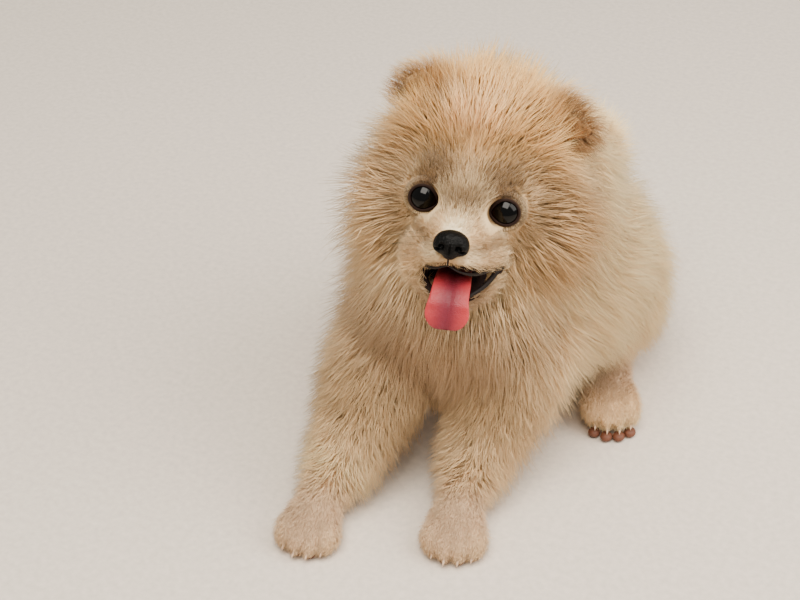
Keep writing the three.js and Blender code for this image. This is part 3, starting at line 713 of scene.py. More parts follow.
class Shader:
    """A short way to build a material's nodes."""

    def __init__(self, name, **sockets):
        self.material = bpy.data.materials.new(name)
        self.material.use_nodes = True
        self.tree = self.material.node_tree
        self.surface = self.tree.nodes["Principled BSDF"]
        for socket, value in sockets.items():
            self.surface.inputs[socket.replace("_", " ")].default_value = value

    def node(self, kind, inputs=(), **settings):
        return add_node(self.tree, kind, inputs, **settings)

    def texture(self, kind, output, **inputs):
        """A texture in the object's own coordinates."""
        places = self.node("ShaderNodeTexCoord").outputs["Object"]
        return self.node(kind, {"Vector": places, **inputs}).outputs[output]

    def noise(self, scale, detail=3.0):
        return self.texture("ShaderNodeTexNoise", "Fac", Scale=scale, Detail=detail)

    def own_tint(self):
        return self.node("ShaderNodeAttribute", attribute_name="tint").outputs["Color"]

    def varied(self, colour, scale, low, high):
        """A colour made a little darker and lighter by a soft noise."""
        inputs = {"Value": self.noise(scale), "To Min": low, "To Max": high}
        tone = self.node("ShaderNodeMapRange", inputs).outputs["Result"]
        settings = {"data_type": "RGBA", "blend_type": "MULTIPLY"}
        return self.node("ShaderNodeMix", {0: 1.0, 6: colour, 7: tone}, **settings).outputs[2]

    def join(self, socket, output):
        self.tree.links.new(output, self.surface.inputs[socket])
        return self

    def tinted(self, scale=90.0):
        """The piece's own tint, varied a little."""
        return self.join("Base Color", self.varied(self.own_tint(), scale, 0.82, 1.16))

    def bump(self, height, strength, depth):
        inputs = {"Height": height, "Strength": strength, "Distance": depth}
        return self.join("Normal", self.node("ShaderNodeBump", inputs).outputs["Normal"])


def hair_material():
    sheen = dict(Sheen_Weight=0.25, Sheen_Roughness=0.5, Sheen_Tint=(1.0, 0.85, 0.65, 1.0))
    return Shader("Soft coat", Roughness=0.75, Specular_IOR_Level=0.12, **sheen).tinted().material


def skin_material():
    shader = Shader("Undercoat and skin", Roughness=0.8, Specular_IOR_Level=0.2).tinted(260.0)
    return shader.bump(shader.noise(900.0, 4.0), 0.5, 0.0006).material


def eye_material():
    shader = Shader("Dark eye", Roughness=0.06, Specular_IOR_Level=0.2)
    return shader.join("Base Color", shader.own_tint()).material


def grained(shader, tint_scale, grain_scale, strength, depth):
    """A material with its piece's own tint and a fine grain of cells."""
    cells = shader.texture("ShaderNodeTexVoronoi", "Distance", Scale=grain_scale)
    return shader.tinted(tint_scale).bump(cells, strength, depth).material


def nose_material():
    shader = Shader("Nose leather", Roughness=0.45, Specular_IOR_Level=0.14)
    return grained(shader, 500.0, 1500.0, 0.7, 0.0003)


def wet_material(name, rough=0.36):
    flesh_glow = dict(Subsurface_Weight=0.15, Subsurface_Radius=(0.004, 0.0015, 0.001))
    shader = Shader(name, Roughness=rough, Specular_IOR_Level=0.22, **flesh_glow)
    return grained(shader, 700.0, 1900.0, 0.45, 0.00025)


def plain_material(name, colour, rough):
    colour = (*colour, 1.0)
    shader = Shader(name, Roughness=rough, Base_Color=colour)
    return shader.join("Base Color", shader.varied(colour, 350.0, 0.8, 1.15)).material


# Settings

def colour_setting(name, description, red, green, blue):
    return bpy.props.FloatVectorProperty(
        name=name, description=description, size=3, subtype="COLOR", min=0, max=1,
        default=linear(red, green, blue),
    )


class PuppyCoatColours(bpy.types.PropertyGroup):
    """The coat's colours, with painted light and shade in some of them."""

    cream: colour_setting("Cream", "Most of the body's coat", 255, 222, 171)
    # Back is the cream coat made paler as painted light from above.
    top: colour_setting("Back", "Along the back, the palest of the long coat", 255, 228, 180)
    # Belly is the coat made darker as painted shade low on the flanks.
    low: colour_setting("Belly", "Low on the flanks", 204, 158, 116)
    ruff: colour_setting("Ruff", "The right side of the ruff", 250, 204, 146)
    # Chest is the cream coat darkened as painted shade under the head.
    chest: colour_setting("Chest", "The chest and under the chin", 172, 136, 103)
    crown: colour_setting("Crown", "The top of the head", 238, 186, 108)
    forehead: colour_setting("Forehead", "Above the brows", 212, 163, 99)
    pale: colour_setting("Blaze", "Pale hair on the bridge and the forehead", 255, 238, 198)
    brow: colour_setting("Brow", "Over and between the eyes", 106, 76, 44)
    cheek: colour_setting("Cheek", "The long hair beside the face", 198, 157, 106)
    muzzle: colour_setting("Muzzle", "Round the nose and lips", 194, 154, 108)
    ear: colour_setting("Ear", "The ears", 150, 100, 52)
    # Shade also serves as painted shade between the front legs.
    shade: colour_setting("Shade", "Darkest hair, round the eyes", 84, 56, 36)
    leg: colour_setting("Leg", "The front legs", 191, 156, 113)
    paw: colour_setting("Paw", "The paws", 221, 188, 156)


class PuppyCoat(bpy.types.PropertyGroup):
    """The coat's hairs."""

    hairs: bpy.props.IntProperty(
        name="Hairs", description="How many hairs the coat has", default=144000, min=1000
    )
    length: bpy.props.FloatProperty(
        name="Length", description="Hair length as a share of the coat's depth",
        default=1.42, min=0.2, max=3,
    )
    width: bpy.props.FloatProperty(
        name="Width", description="Width of a long hair at its root", default=0.00036, unit="LENGTH"
    )
    clumping: bpy.props.FloatProperty(
        name="Clumping", description="How far hairs draw together at their tips",
        default=0.22, min=0, max=1,
    )
    seed: bpy.props.IntProperty(
        name="Seed", description="Starts the coat's random draws", default=7
    )


class PuppyFace(bpy.types.PropertyGroup):
    """The face's and paws' finishes."""

    iris: colour_setting("Iris", "The ring round the pupil", 52, 24, 12)
    rim: colour_setting("Eye rim", "The bare lids' edge", 34, 20, 14)
    nose: colour_setting("Nose", "The nose's leather", 5, 3, 2)
    tongue: colour_setting("Tongue", "The tongue's upper side", 146, 52, 60)
    # Painted shade: the inside of the mouth, its red flesh darkened near black for the shade in the
    # hollow.
    mouth_cavity_shade: colour_setting("Mouth", "Inside the mouth", 26, 8, 6)
    pad: colour_setting("Pads", "The pads under the paws", 105, 64, 46)
    claw: colour_setting("Claws", "The claws", 196, 168, 140)


class PuppyStage(bpy.types.PropertyGroup):
    """The floor and the light."""

    floor: colour_setting("Floor", "The pale floor", 226, 214, 200)
    key: bpy.props.FloatProperty(
        name="Key", description="The main light", default=25.0, unit="POWER"
    )
    fill: bpy.props.FloatProperty(
        name="Fill", description="The softer light", default=18.0, unit="POWER"
    )
    sky: bpy.props.FloatProperty(
        name="Sky", description="Light from all round", default=0.5, min=0
    )


def settings():
    scene = bpy.context.scene
    return scene.puppy_markings, scene.puppy_coat, scene.puppy_face


# The skin

# The pace of the skin's grid and of the coarse one that the coat bends away from, and the lengths
# over which the forms of each kind run into their neighbours
SKIN_PACE, FAR_PACE = 1.15, 3.5
BODY_LOW, BODY_HIGH = np.array([-62.0, -121.0, -3.0]), np.array([72.0, 114.0, 178.0])
FAR_MARGIN = 34.0
BODY_JOIN, HEAD_JOIN, SMALL_JOIN, EAR_JOIN, TOE_JOIN = 7.0, 5.0, 4.0, 3.0, 1.2
SMALL_FORM = 6
SOLE = 0.25
SKIN_TINT = 0.92
BLEND_LENGTH = 2.2
SKIN_ROUNDS = 2


def flesh(pace, soft_scale=1.0, margin=8.0, low=BODY_LOW, high=BODY_HIGH):
    """The distance field of the bare body, and the cups to press into its ears."""
    field = Field(low, high, pace)
    lobes, cups = ear_forms()
    for form in body_forms():
        field.merge(form, BODY_JOIN * soft_scale, margin)
    for form in head_forms():
        soft = SMALL_JOIN if form.reach < SMALL_FORM else HEAD_JOIN
        field.merge(form, soft * soft_scale, margin)
    for form in lobes:
        field.merge(form, EAR_JOIN, margin)
    for form in toe_forms():
        field.merge(form, TOE_JOIN, margin)
    return field, cups


def head_ball(at, radii, side):
    return Ball(mirrored(at, side), radii, on_head=True)


def near_forms(points, forms, margin=9):
    """Each form with the numbers of the points that lie round it."""
    for form in forms:
        close = np.flatnonzero(in_box(points, *form.box(margin)))
        if len(close):
            yield form, close


def dressed(points):
    """The coat's depth and its lie, blended from the forms that are near each point."""
    forms = [*body_forms(), *head_forms(), *ear_forms()[0], *toe_forms()]
    weight, coat, lie = np.zeros(len(points)), np.zeros(len(points)), np.zeros((len(points), 3))
    for form, close in near_forms(points, forms):
        distance, depth, flow = form.dress(points[close])
        share = np.exp(-np.clip(distance, 0, 40) / BLEND_LENGTH)
        weight[close] += share
        coat[close] += share * depth
        lie[close] += share[:, None] * flow
    return coat / np.maximum(weight, 1e-9), lie


def eye_gap(local, side):
    """Distance to an eye from places in the head's frame."""
    return np.linalg.norm(local - mirrored(EYE_SEEN, side), axis=1) - EYE_RADIUS


def bare_share(points, local, in_mouth, cups):
    """How little hair each point carries, from 0 in the coat to 1 on bare skin."""
    shares = [np.clip(1.3 - eye_gap(local, side) / 0.6, 0, 1) for side in SIDES.values()]
    shares.append(np.clip(2.4 - in_mouth, 0, 1))
    from_nose = np.linalg.norm((local - NOSE_AT) / [6, 5, 5], axis=1)
    shares.append(np.clip(2.2 - 1.6 * from_nose, 0, 1))
    shares += [0.75 * np.clip(1 - cup.distance(points) / 1.5, 0, 1) for cup in cups]
    shares.append(np.clip(1.6 - points[:, 2] / 1.5, 0, 1) * (points[:, 2] < 3))
    return np.max(shares, axis=0)


class PUPPY_OT_skin(bpy.types.Operator):
    """Builds the skin, with its sockets, mouth, ears and toes, and where each kind of hair grows."""

    bl_idname = "puppy.skin"
    bl_label = "Build the skin"

    def execute(self, context):
        coat_colours, _, face = settings()
        field, cups = flesh(SKIN_PACE)
        mouth = Limb(**MOUTH, on_head=True)
        for form in (mouth, *cups):
            field.carve(form)
        for side in SIDES.values():
            field.carve(head_ball(EYE_SEEN, [EYE_RADIUS + 0.25] * 3, side))
            field.carve(head_ball(EYE_SEEN + [-0.6, -8, -0.4], [5.8, 8.5, 5.2], side))
        height = field.low[2] + field.pace * np.arange(field.count[2])
        field.value = np.maximum(field.value, (SOLE - height)[None, None, :])
        points, faces = field.surface()
        if not len(points):
            raise RuntimeError("the skin came out empty")
        points = relaxed(points, faces, SKIN_ROUNDS)

        coat, lie = dressed(points)
        local = into_head(points)
        in_mouth = mouth.distance(points)
        # Painted shade: the skin in the mouth's opening darkened towards near black.
        dark = np.clip(3.0 - in_mouth / 1.2, 0, 1) * (local[:, 1] < 2)
        colours = blended(markings_and_painted_light(points, coat_colours) * SKIN_TINT, face.mouth_cavity_shade, dark)
        made = piece("skin", points, faces, skin_material(), "coat_cream", colours)
        add_attribute(made.data, "coat_depth", coat)
        add_attribute(made.data, "bare", bare_share(points, local, in_mouth, cups))
        add_attribute(made.data, "lie", lie)
        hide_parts(*FLESH_NODES)
        return {"FINISHED"}


# The coat

REGIONS = ("face", "head", "ears", "neck", "torso", "tail", "front_legs", "hind_legs", "paws")
REGION_SLOTS = {"face": "coat_tan", "head": "coat_tan", "ears": "coat_brown", "neck": "coat_tan",
                "paws": "coat_pale"}
# The most hairs in one piece, the hairs of each eye's lids, and the depth below which the head's
# coat is the face's
MOST_HAIRS, LID_HAIRS, FACE_DEPTH = 19500, 2200, 7
# How hairs vary, as shares, and how they stray, sag, hang on the trunk and lengthen behind the legs
LENGTHS, TONES, WIDTHS = (0.72, 1.12), (0.93, 1.06), (0.8, 1.2)
COLOUR_STRAY = 1.2
FRAY, SAG, HANG, FEATHERING = 0.16, 0.10, np.array([0, 0.1, -0.5]), 1.15
LEAST_HEIGHT, LEAST_ROOT, DENSE_DEPTH = 0.4, 1.2, 24
# One hair in CLUMP_STEP leads those round it, which lean to it more and more towards their tips
CLUMP_STEP, CLUMP_DRAW = 13, 0.75
TIP_SHARES = (0.12, 0.5, 1.0)
# The eye's clear opening, and how far before the eye and how near it a hair would hide it
OPENING, EYE_CLEARANCE = 4.7, 0.9
SIGHT, CLEARED_TO, NEAR_EYE = (3.5, 18), 16, 30
CROSSING_LENGTH, MOUTH_CLEARANCE = 0.3, 0.6
# On the puppy's right the hair beyond RIGHT_REACH is drawn in, to stay by the solids
RIGHT_REACH, DRAWN_IN = -66.0, 0.35
# The tufts before each ear that carry the ear's colour: a middle and three half sizes
EAR_SHADE = [([-20, -3, 36], [13, 12, 7]), ([32, -2, 33], [13, 12, 9])]


def region_of(points):
    """The number in REGIONS of the part of the body that each place is on."""
    body = body_forms()
    groups = {
        "head": head_forms(),
        "ears": ear_forms()[0],
        "neck": body[2:4],
        "torso": body[:2],
        "tail": body[4:5],
        "front_legs": [Limb(leg["spine"], LEG_SIZES["front"]) for leg in FRONT_LEGS.values()],
        "hind_legs": [
            Limb(leg[k], LEG_SIZES[k]) for leg in HIND_LEGS.values() for k in ("thigh", "shank")
        ],
        "paws": [Limb(paw, LEG_SIZES["front_paw"]) for paw, _ in paws()] + toe_forms(),
    }
    best, number = np.full(len(points), FAR_OFF), np.zeros(len(points), int)
    for name, forms in groups.items():
        for form, close in near_forms(points, forms):
            distance = form.dress(points[close])[0]
            closer = distance < best[close]
            best[close[closer]] = distance[closer]
            number[close[closer]] = REGIONS.index(name)
    return number


def is_on(region, *names):
    """Which hairs are on one of the parts named."""
    return np.isin(region, [REGIONS.index(name) for name in names])


def nearest(guides, roots):
    """The number of the guide that is nearest to each root."""
    tree = KDTree(len(guides))
    for i, place in enumerate(guides):
        tree.insert(place, i)
    tree.balance()
    return np.array([tree.find(place)[1] for place in roots])


class Skin:
    """The skin's mesh, read back for hair to grow on."""

    def __init__(self):
        made = bpy.data.objects.get("skin")
        if made is None:
            raise RuntimeError("build the skin before the coat")
        mesh = made.data
        self.points = read(mesh.vertices, "co", 3).astype(float) / MM - SHIFT
        quads = read(mesh.loops, "vertex_index", kind=np.int32).reshape(-1, 4)
        self.triangles = np.vstack([quads[:, [0, 1, 2]], quads[:, [0, 2, 3]]])
        self.coat = read(mesh.attributes["coat_depth"].data, "value")
        self.bare = read(mesh.attributes["bare"].data, "value")
        self.lie = read(mesh.attributes["lie"].data, "vector", 3)
        a, b, c = (self.points[self.triangles[:, i]] for i in range(3))
        facing = np.cross(b - a, c - a)
        self.area = np.linalg.norm(facing, axis=1) / 2
        self.facing = unit(facing)

    def scatter(self, count, random):
        """Places on the skin, closer together where the coat is short, and what grows there."""
        depth = self.coat[self.triangles].mean(1)
        bare = self.bare[self.triangles].mean(1)
        dense = 1 / (0.5 + depth / DENSE_DEPTH) * np.clip(1 - bare, 0, 1)
        low = self.points[self.triangles].mean(1)[:, 2] < LEAST_ROOT
        chance = self.area * dense * ~low
        chosen = random.choice(len(chance), count, p=chance / chance.sum())
        u, v = random.random((2, count))
        over = u + v > 1
        u[over], v[over] = 1 - u[over], 1 - v[over]
        weights = np.stack([1 - u - v, u, v], axis=1)[..., None]
        corners = self.triangles[chosen]
        return (
            (self.points[corners] * weights).sum(1),
            self.facing[chosen],
            (self.lie[corners] * weights).sum(1),
            (self.coat[corners] * weights[..., 0]).sum(1),
        )


def groomed(roots, facing, lie, long, region):
    """The hairs' lie and length, changed on the trunk, behind the front legs and round the eyes."""
    lie = unit(lie)
    trunk = is_on(region, "neck", "torso", "hind_legs")
    lie[trunk] = unit(lie[trunk] + HANG)
    long = long * np.where(is_on(region, "front_legs") & (facing[:, 1] > 0), FEATHERING, 1)
    local = into_head(roots)
    for side in SIDES.values():
        gap = eye_gap(local, side)
        long *= np.clip(0.45 + gap / 12, 0.5, 1)
        away = unit(roots - from_head(mirrored(EYE_SEEN, side)))
        lie += away * 2.5 * np.clip(1 - gap / 5, 0, 1)[:, None]
    return unit(lie), long


def combed(roots, facing, lie, long, sweep, clump, random):
    """The path of each hair: four points from its root to its tip."""
    far, _ = flesh(FAR_PACE, 2.0, FAR_MARGIN, BODY_LOW - FAR_MARGIN, BODY_HIGH + FAR_MARGIN)
    random_way = random.normal(size=(len(roots), 3))
    paths = [roots - facing * 0.5]
    place, outward = roots.copy(), facing
    for k in range(3):
        if k:
            outward = unit(0.5 * outward + far.outward(place))
        along = unit(lie - (lie * outward).sum(1, keepdims=True) * outward)
        lean = np.radians(sweep[:, 0] + (sweep[:, 1] - sweep[:, 0]) * k / 2)[:, None]
        way = outward * np.cos(lean) + along * np.sin(lean) + random_way * FRAY * (0.7 + 0.5 * k)
        way[:, 2] -= SAG * k * np.clip(long / 20, 0, 1.5)
        place = place + unit(way) * (long / 3)[:, None]
        place[:, 2] = np.maximum(place[:, 2], LEAST_HEIGHT)
        paths.append(place)
    paths = np.stack(paths, axis=1)
    guides = np.arange(0, len(roots), CLUMP_STEP)
    guide = guides[nearest(roots[guides], roots)]
    apart = roots - roots[guide]
    for k, share in enumerate(TIP_SHARES, start=1):
        drawn = paths[guide, k] + apart * (1 - CLUMP_DRAW * share)
        drawn_by = (clump * share)[:, None]
        paths[:, k] = paths[:, k] * (1 - drawn_by) + drawn * drawn_by
    return paths


def eye_axes():
    """The middle of each eye and the way it looks, in the puppy's frame."""
    for side in SIDES.values():
        yield from_head(mirrored(EYE_SEEN, side)), HEAD_TURN @ gaze(side)[2]


def clear_of_eyes(paths):
    """Moves hairs out of the eyes and from in front of them."""
    for middle, ahead in eye_axes():
        for k in range(1, 4):
            off = paths[:, k] - middle
            reach = np.linalg.norm(off, axis=1, keepdims=True)
            least = EYE_RADIUS + EYE_CLEARANCE
            off = np.where(reach < least, off / reach * least, off)
            forth = (off @ ahead)[:, None]
            aside = off - forth * ahead
            out = np.linalg.norm(aside, axis=1, keepdims=True)
            least = OPENING + 0.3 * forth
            blocks = (forth > 0) & (forth < CLEARED_TO) & (out < least)
            off = np.where(blocks, forth * ahead + aside / np.maximum(out, 0.01) * least, off)
            paths[:, k] = middle + off


def crosses_eye(paths):
    """Which hairs would be seen across an eye."""
    crosses = np.zeros(len(paths), bool)
    for middle, ahead in eye_axes():
        close = np.flatnonzero(np.linalg.norm(paths[:, 0] - middle, axis=1) < NEAR_EYE)
        for k, t in itertools.product(range(3), (0.0, 0.25, 0.5, 0.75, 1.0)):
            off = paths[close, k] * (1 - t) + paths[close, k + 1] * t - middle
            forth = off @ ahead
            aside = np.linalg.norm(off - np.outer(forth, ahead), axis=1)
            in_sight = (forth > SIGHT[0]) & (forth < SIGHT[1])
            crosses[close] |= in_sight & (aside < OPENING - 0.5 + 0.12 * forth)
    return crosses


# The corners of a hair's cross-section, its width at both rings and its shades up to the tip
CORNERS = np.radians([90.0, 210.0, 330.0])
TAPER = (0.9, 1.0)
SHADES = (1.0, 1.0, 1.08)
FLAT = 0.45
HAIR_POINTS = 7
PATCH = 0.003


def hair_mesh(paths, widths, colours, tones):
    """Closed three-sided blades along the paths, with a tint that lightens to the tips."""
    count = len(paths)
    rings = np.stack([paths[:, 0], (paths[:, 1] + paths[:, 2]) / 2], axis=1)
    ahead = unit(np.stack([paths[:, 1] - paths[:, 0], paths[:, 3] - paths[:, 1]], axis=1))
    side = unit(np.cross(ahead, np.array([0.31, 0.17, 0.93])))
    other = np.cross(ahead, side)
    points = np.zeros((count, HAIR_POINTS, 3))
    tints = np.zeros((count, HAIR_POINTS, 3))
    for k, (j, angle) in itertools.product(range(2), enumerate(CORNERS)):
        spread = (widths * TAPER[k] / 2)[:, None]
        round_ring = side[:, k] * math.cos(angle) + other[:, k] * FLAT * math.sin(angle)
        points[:, 3 * k + j] = rings[:, k] + spread * round_ring
        tints[:, 3 * k + j] = colours * SHADES[k]
    points[:, 6] = paths[:, 3]
    tints[:, 6] = colours * SHADES[2]
    tints = tints * tones[:, None, None]
    pattern = [[0, 2, 1]]
    for a, b in ((0, 1), (1, 2), (2, 0)):
        pattern += [[a, b, b + 3], [a, b + 3, a + 3], [a + 3, b + 3, 6]]
    faces = np.arange(count)[:, None, None] * HAIR_POINTS + np.array(pattern)[None]
    return points.reshape(-1, 3), faces.reshape(-1, 3), np.clip(tints.reshape(-1, 3), 0, 1)


def unwrap_hairs(made, roots, middle):
    """A patch of the map for each hair, where its root lies round the middle of its part."""
    off = roots - middle
    high = off[:, 2] / np.maximum(np.linalg.norm(off, axis=1), 1e-6)
    u = np.arctan2(off[:, 1], off[:, 0]) / (2 * np.pi) + 0.5
    v = np.arccos(np.clip(high, -1, 1)) / np.pi
    base = np.stack([u, v], axis=1) * (1 - 2 * PATCH) + PATCH
    corner = np.array([[j / 3, k / 2] for k in range(2) for j in range(3)] + [[0.33, 1.0]]) * PATCH
    places = (base[:, None] + corner[None]).reshape(-1, 2)
    loops = read(made.data.loops, "vertex_index", kind=np.int32)
    layer = made.data.uv_layers.new(name="OFBake")
    layer.data.foreach_set("uv", places[loops].astype(np.float32).ravel())


class PUPPY_OT_coat(bpy.types.Operator):
    """Grows the coat on the skin: tapered hairs that lie, bend and clump as a puppy's do."""

    bl_idname = "puppy.coat"
    bl_label = "Grow the coat"

    def execute(self, context):
        coat_colours, coat, _ = settings()
        random = np.random.default_rng(coat.seed)
        grown = zip(Skin().scatter(coat.hairs, random), lid_hair(LID_HAIRS, random))
        roots, facing, lie, depth = (np.concatenate(pair) for pair in grown)
        region = region_of(roots)
        region[is_on(region, "head") & (depth < FACE_DEPTH)] = REGIONS.index("face")

        long = depth * coat.length * random.uniform(*LENGTHS, len(roots)) + 1.0
        short = np.clip((9 - depth) / 7, 0, 1)
        sweep = np.stack([16 + 40 * short, 50 + 24 * short], axis=1)
        clump = coat.clumping * (1 - 0.7 * short)
        lie, long = groomed(roots, facing, lie, long, region)
        paths = combed(roots, facing, lie, long, sweep, clump, random)
        clear_of_eyes(paths)
        mouth = Limb(**MOUTH, on_head=True)
        in_mouth = [mouth.distance(paths[:, k]) < MOUTH_CLEARANCE for k in (1, 2, 3)]
        kept = ~np.any(in_mouth, axis=0)
        paths, roots, depth, region = (v[kept] for v in (paths, roots, depth, region))
        cut = crosses_eye(paths)
        paths[cut, 1:] = roots[cut, None] + (paths[cut, 1:] - roots[cut, None]) * CROSSING_LENGTH
        paths[:, :, 0] -= DRAWN_IN * np.minimum(paths[:, :, 0] - RIGHT_REACH, 0)

        colours = markings_and_painted_light(roots + random.normal(size=roots.shape) * COLOUR_STRAY, coat_colours)
        for middle, half in EAR_SHADE:
            out = np.linalg.norm((into_head(paths[:, 2]) - middle) / half, axis=1)
            colours = blended(colours, coat_colours.ear, 0.75 * np.clip((1.3 - out) / 0.7, 0, 1))
        tones = random.uniform(*TONES, len(roots))
        widths = (coat.width / MM) * np.clip(0.42 + depth / 26, 0.4, 1.2)
        widths = widths * random.uniform(*WIDTHS, len(roots))
        order = roots[:, 1] + 0.001 * into_head(roots)[:, 0]
        material = hair_material()
        for number, name in enumerate(REGIONS):
            mine = np.flatnonzero(region == number)
            if not len(mine):
                continue
            mine = mine[np.argsort(order[mine])]
            middle = roots[mine].mean(0)
            slot = REGION_SLOTS.get(name, "coat_cream")
            parts = max(1, math.ceil(len(mine) / MOST_HAIRS))
            for index, chosen in enumerate(np.array_split(mine, parts), start=1):
                strands = (v[chosen] for v in (paths, widths, colours, tones))
                points, faces, tints = hair_mesh(*strands)
                made = piece(f"coat_{name}_{index}", points, faces, material, slot, tints)
                unwrap_hairs(made, roots[chosen], middle)
        return {"FINISHED"}


# The face

def gaze(side):
    """The eye's own axes in the head's frame: across, up and forwards."""
    turn = turn_about("Z", EYE_SPLAY * side)
    return turn @ np.array([1.0, 0, 0]), np.array([0, 0, 1.0]), turn @ np.array([0, -1.0, 0])


# The pupil's and the iris's edge as shares of the eye's radius, and how dark each is
PUPIL, IRIS = 0.6, 0.74
PUPIL_TINT, IRIS_TINT, RIM_TINT = 0.0006, 0.2, 0.25
CORNEA_START, CORNEA = 0.6, 0.9
# Round each lid's section, the degrees outside the opening and the height over the eye
LID_SIDES = 48
LID_PROFILE = [(0, 0.3), (1, 0.7), (5, 0.85), (11, 0.75), (19, 0.2), (27, -0.9), (15, 0.0)]
LID_COAT = 1.6


def lid_opening(angle, side):
    """Half the opening between the lids, in millimetres, all the way round."""
    inner = np.clip(-np.cos(angle) * side, 0, 1) ** 6
    return np.cos(angle) * (4.5 + 0.9 * inner), np.sin(angle) * 4.2 - 0.8 * inner


def on_eye(side, angle, degrees, rise):
    """Places near the eye's surface, some degrees outside the opening."""
    across, up, ahead = gaze(side)
    x, z = lid_opening(angle, side)
    open_by = np.arcsin(np.hypot(x, z) / (EYE_RADIUS + 0.4)) + np.radians(degrees)
    turn = np.arctan2(z, x)
    way = (
        np.outer(np.sin(open_by) * np.cos(turn), across)
        + np.outer(np.sin(open_by) * np.sin(turn), up)
        + np.outer(np.cos(open_by), ahead)
    )
    return mirrored(EYE_SEEN, side) + way * (EYE_RADIUS + rise), way


def lids(side):
    """Both lids as one closed band round the eye, with each point's degrees from its edge."""
    angle = 2 * np.pi * np.arange(LID_SIDES) / LID_SIDES
    rows = [on_eye(side, angle, degrees, rise)[0] for degrees, rise in LID_PROFILE]
    points = np.stack(rows, axis=1).reshape(-1, 3)
    count = len(LID_PROFILE)
    i, j = np.divmod(np.arange(LID_SIDES * count), count)
    i, i2, j2 = i * count, (i + 1) % LID_SIDES * count, (j + 1) % count
    faces = outward_faces(points, np.stack([i + j, i2 + j, i2 + j2, i + j2], axis=1))
    return points, faces, np.tile([degrees for degrees, _ in LID_PROFILE], LID_SIDES)


def lid_hair(count, random):
    """Roots of the short hair on the lids: places, ways out, lie and depth."""
    rows = []
    for side in SIDES.values():
        angle = random.uniform(0, 2 * np.pi, count)
        degrees = random.uniform(7, 34, count)
        rise = 0.8 - 0.02 * np.maximum(degrees - 12, 0)[:, None]
        place, way = on_eye(side, angle, degrees, rise)
        further, _ = on_eye(side, angle, degrees + 8, 0.8)
        turned = way @ HEAD_TURN.T, unit(further - place) @ HEAD_TURN.T
        rows.append((from_head(place), *turned, np.full(count, LID_COAT)))
    return [np.concatenate(pair) for pair in zip(*rows)]


class PUPPY_OT_eyes(bpy.types.Operator):
    """Builds the two eyes and the lids round them, with their bare dark rims."""

    bl_idname = "puppy.eyes"
    bl_label = "Build the eyes"

    def execute(self, context):
        coat_colours, _, face = settings()
        glass, wet = eye_material(), skin_material()
        iris, rim = np.array(face.iris), np.array(face.rim)
        for name, side in SIDES.items():
            ahead = gaze(side)[2]
            middle = mirrored(EYE_SEEN, side)
            spine = [middle + ahead * EYE_RADIUS * way for way in (-1, 0, 1)]
            points, faces = swept(spine, [[EYE_RADIUS] * 2] * 3, sides=48, rings=40, blunt=1.0)
            off = points - middle
            forth = off @ ahead
            out = np.linalg.norm(off - np.outer(forth, ahead), axis=1)[:, None] / EYE_RADIUS
            bulge = np.clip(forth / EYE_RADIUS - CORNEA_START, 0, 1)[:, None] * CORNEA
            tint = np.where(out < PUPIL, PUPIL_TINT, iris * IRIS_TINT)
            tint = np.where(out > IRIS, iris * IRIS_TINT / 2 + rim * RIM_TINT, tint)
            points = from_head(points + ahead * bulge)
            made = piece(f"eye_{name}_ball", points, faces, glass, "eye", tint)
            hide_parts(f"eye_{name}")

            points, faces, edge = lids(side)
            points = from_head(points)
            tint = blended(markings_and_painted_light(points, coat_colours), rim, np.clip(1.9 - edge / 9, 0.5, 1))
            piece(f"eye_{name}_lids", points, faces, wet, "coat_tan", tint)
        return {"FINISHED"}


NOSE_PACE = 0.36
NOSE_BOX = np.array([[-9, -9, -8], [9, 6, 8]])
NOSTRIL = [3.05, 4.4, 0.7]


def nose_blob(at, radii):
    return Ball(NOSE_AT + np.array(at), radii)


class PUPPY_OT_nose(bpy.types.Operator):
    """Builds the nose, with its nostrils and groove."""

    bl_idname = "puppy.nose"
    bl_label = "Build the nose"

    def execute(self, context):
        _, _, face = settings()
        field = Field(*(NOSE_AT + NOSE_BOX), NOSE_PACE)
        field.merge(nose_blob([0, -0.6, 0.8], [6.2, 4.6, 4.3]), 1.2, 3)
        field.merge(nose_blob([0, -1.8, -1.6], [3.4, 3.6, 3.9]), 1.5, 3)
        for side in SIDES.values():
            field.merge(nose_blob([3.9 * side, -1.2, -0.9], [2.6, 3.2, 2.7]), 1.4, 3)
            field.carve(nose_blob([3.05 * side, -5.0, -0.7], [1.25, 2.4, 1.05]), 2)
            field.carve(nose_blob([4.9 * side, -3.9, -1.9], [1.7, 1.7, 0.5]), 2)
        field.carve(nose_blob([0, -6.0, -2.6], [0.45, 1.5, 3.4]), 2)
        points, faces = field.surface()
        points = relaxed(points, faces, 2)
        local = points - NOSE_AT
        # Painted light and shade: the leather is made lighter on top, where light falls, and darker in
        # the nostrils.
        lit = np.clip((local[:, 2] - 1.5) / 3, 0, 1)[:, None]
        nostril_shade = np.linalg.norm((np.abs(local) - NOSTRIL) / [1.7, 2.2, 1.5], axis=1)
        tint = np.array(face.nose) * (1 + 1.2 * lit) * np.clip(nostril_shade, 0.15, 1)[:, None]
        leather = nose_material()
        made = piece("nose_leather", from_head(points), faces, leather, "nose_leather", tint)
        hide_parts("nose")
        return {"FINISHED"}


TONGUE = dict(
    spine=[[0.5, -18, -27], [1.2, -31, -28.6], [1.9, -41, -31], [2.2, -46, -35.5],
           [2.4, -47.6, -41], [2.7, -48, -46]],
    sizes=[[6, 1.5], [6.4, 1.6], [6.8, 1.6], [7.6, 1.6], [9.6, 1.5], [9.2, 1.3]],
)
TONGUE_MIDDLE = 2.2
# Painted shade: the tongue darkens towards its root, inside the mouth.
TONGUE_ROOT_SHADE = np.array(linear(90, 22, 26))
LIP_WIDTHS = [[0.35, 0.45], [0.5, 0.5], [0.6, 0.7], [0.9, 1.0], [1.3, 1.5]]
LIP_TINT = 0.4


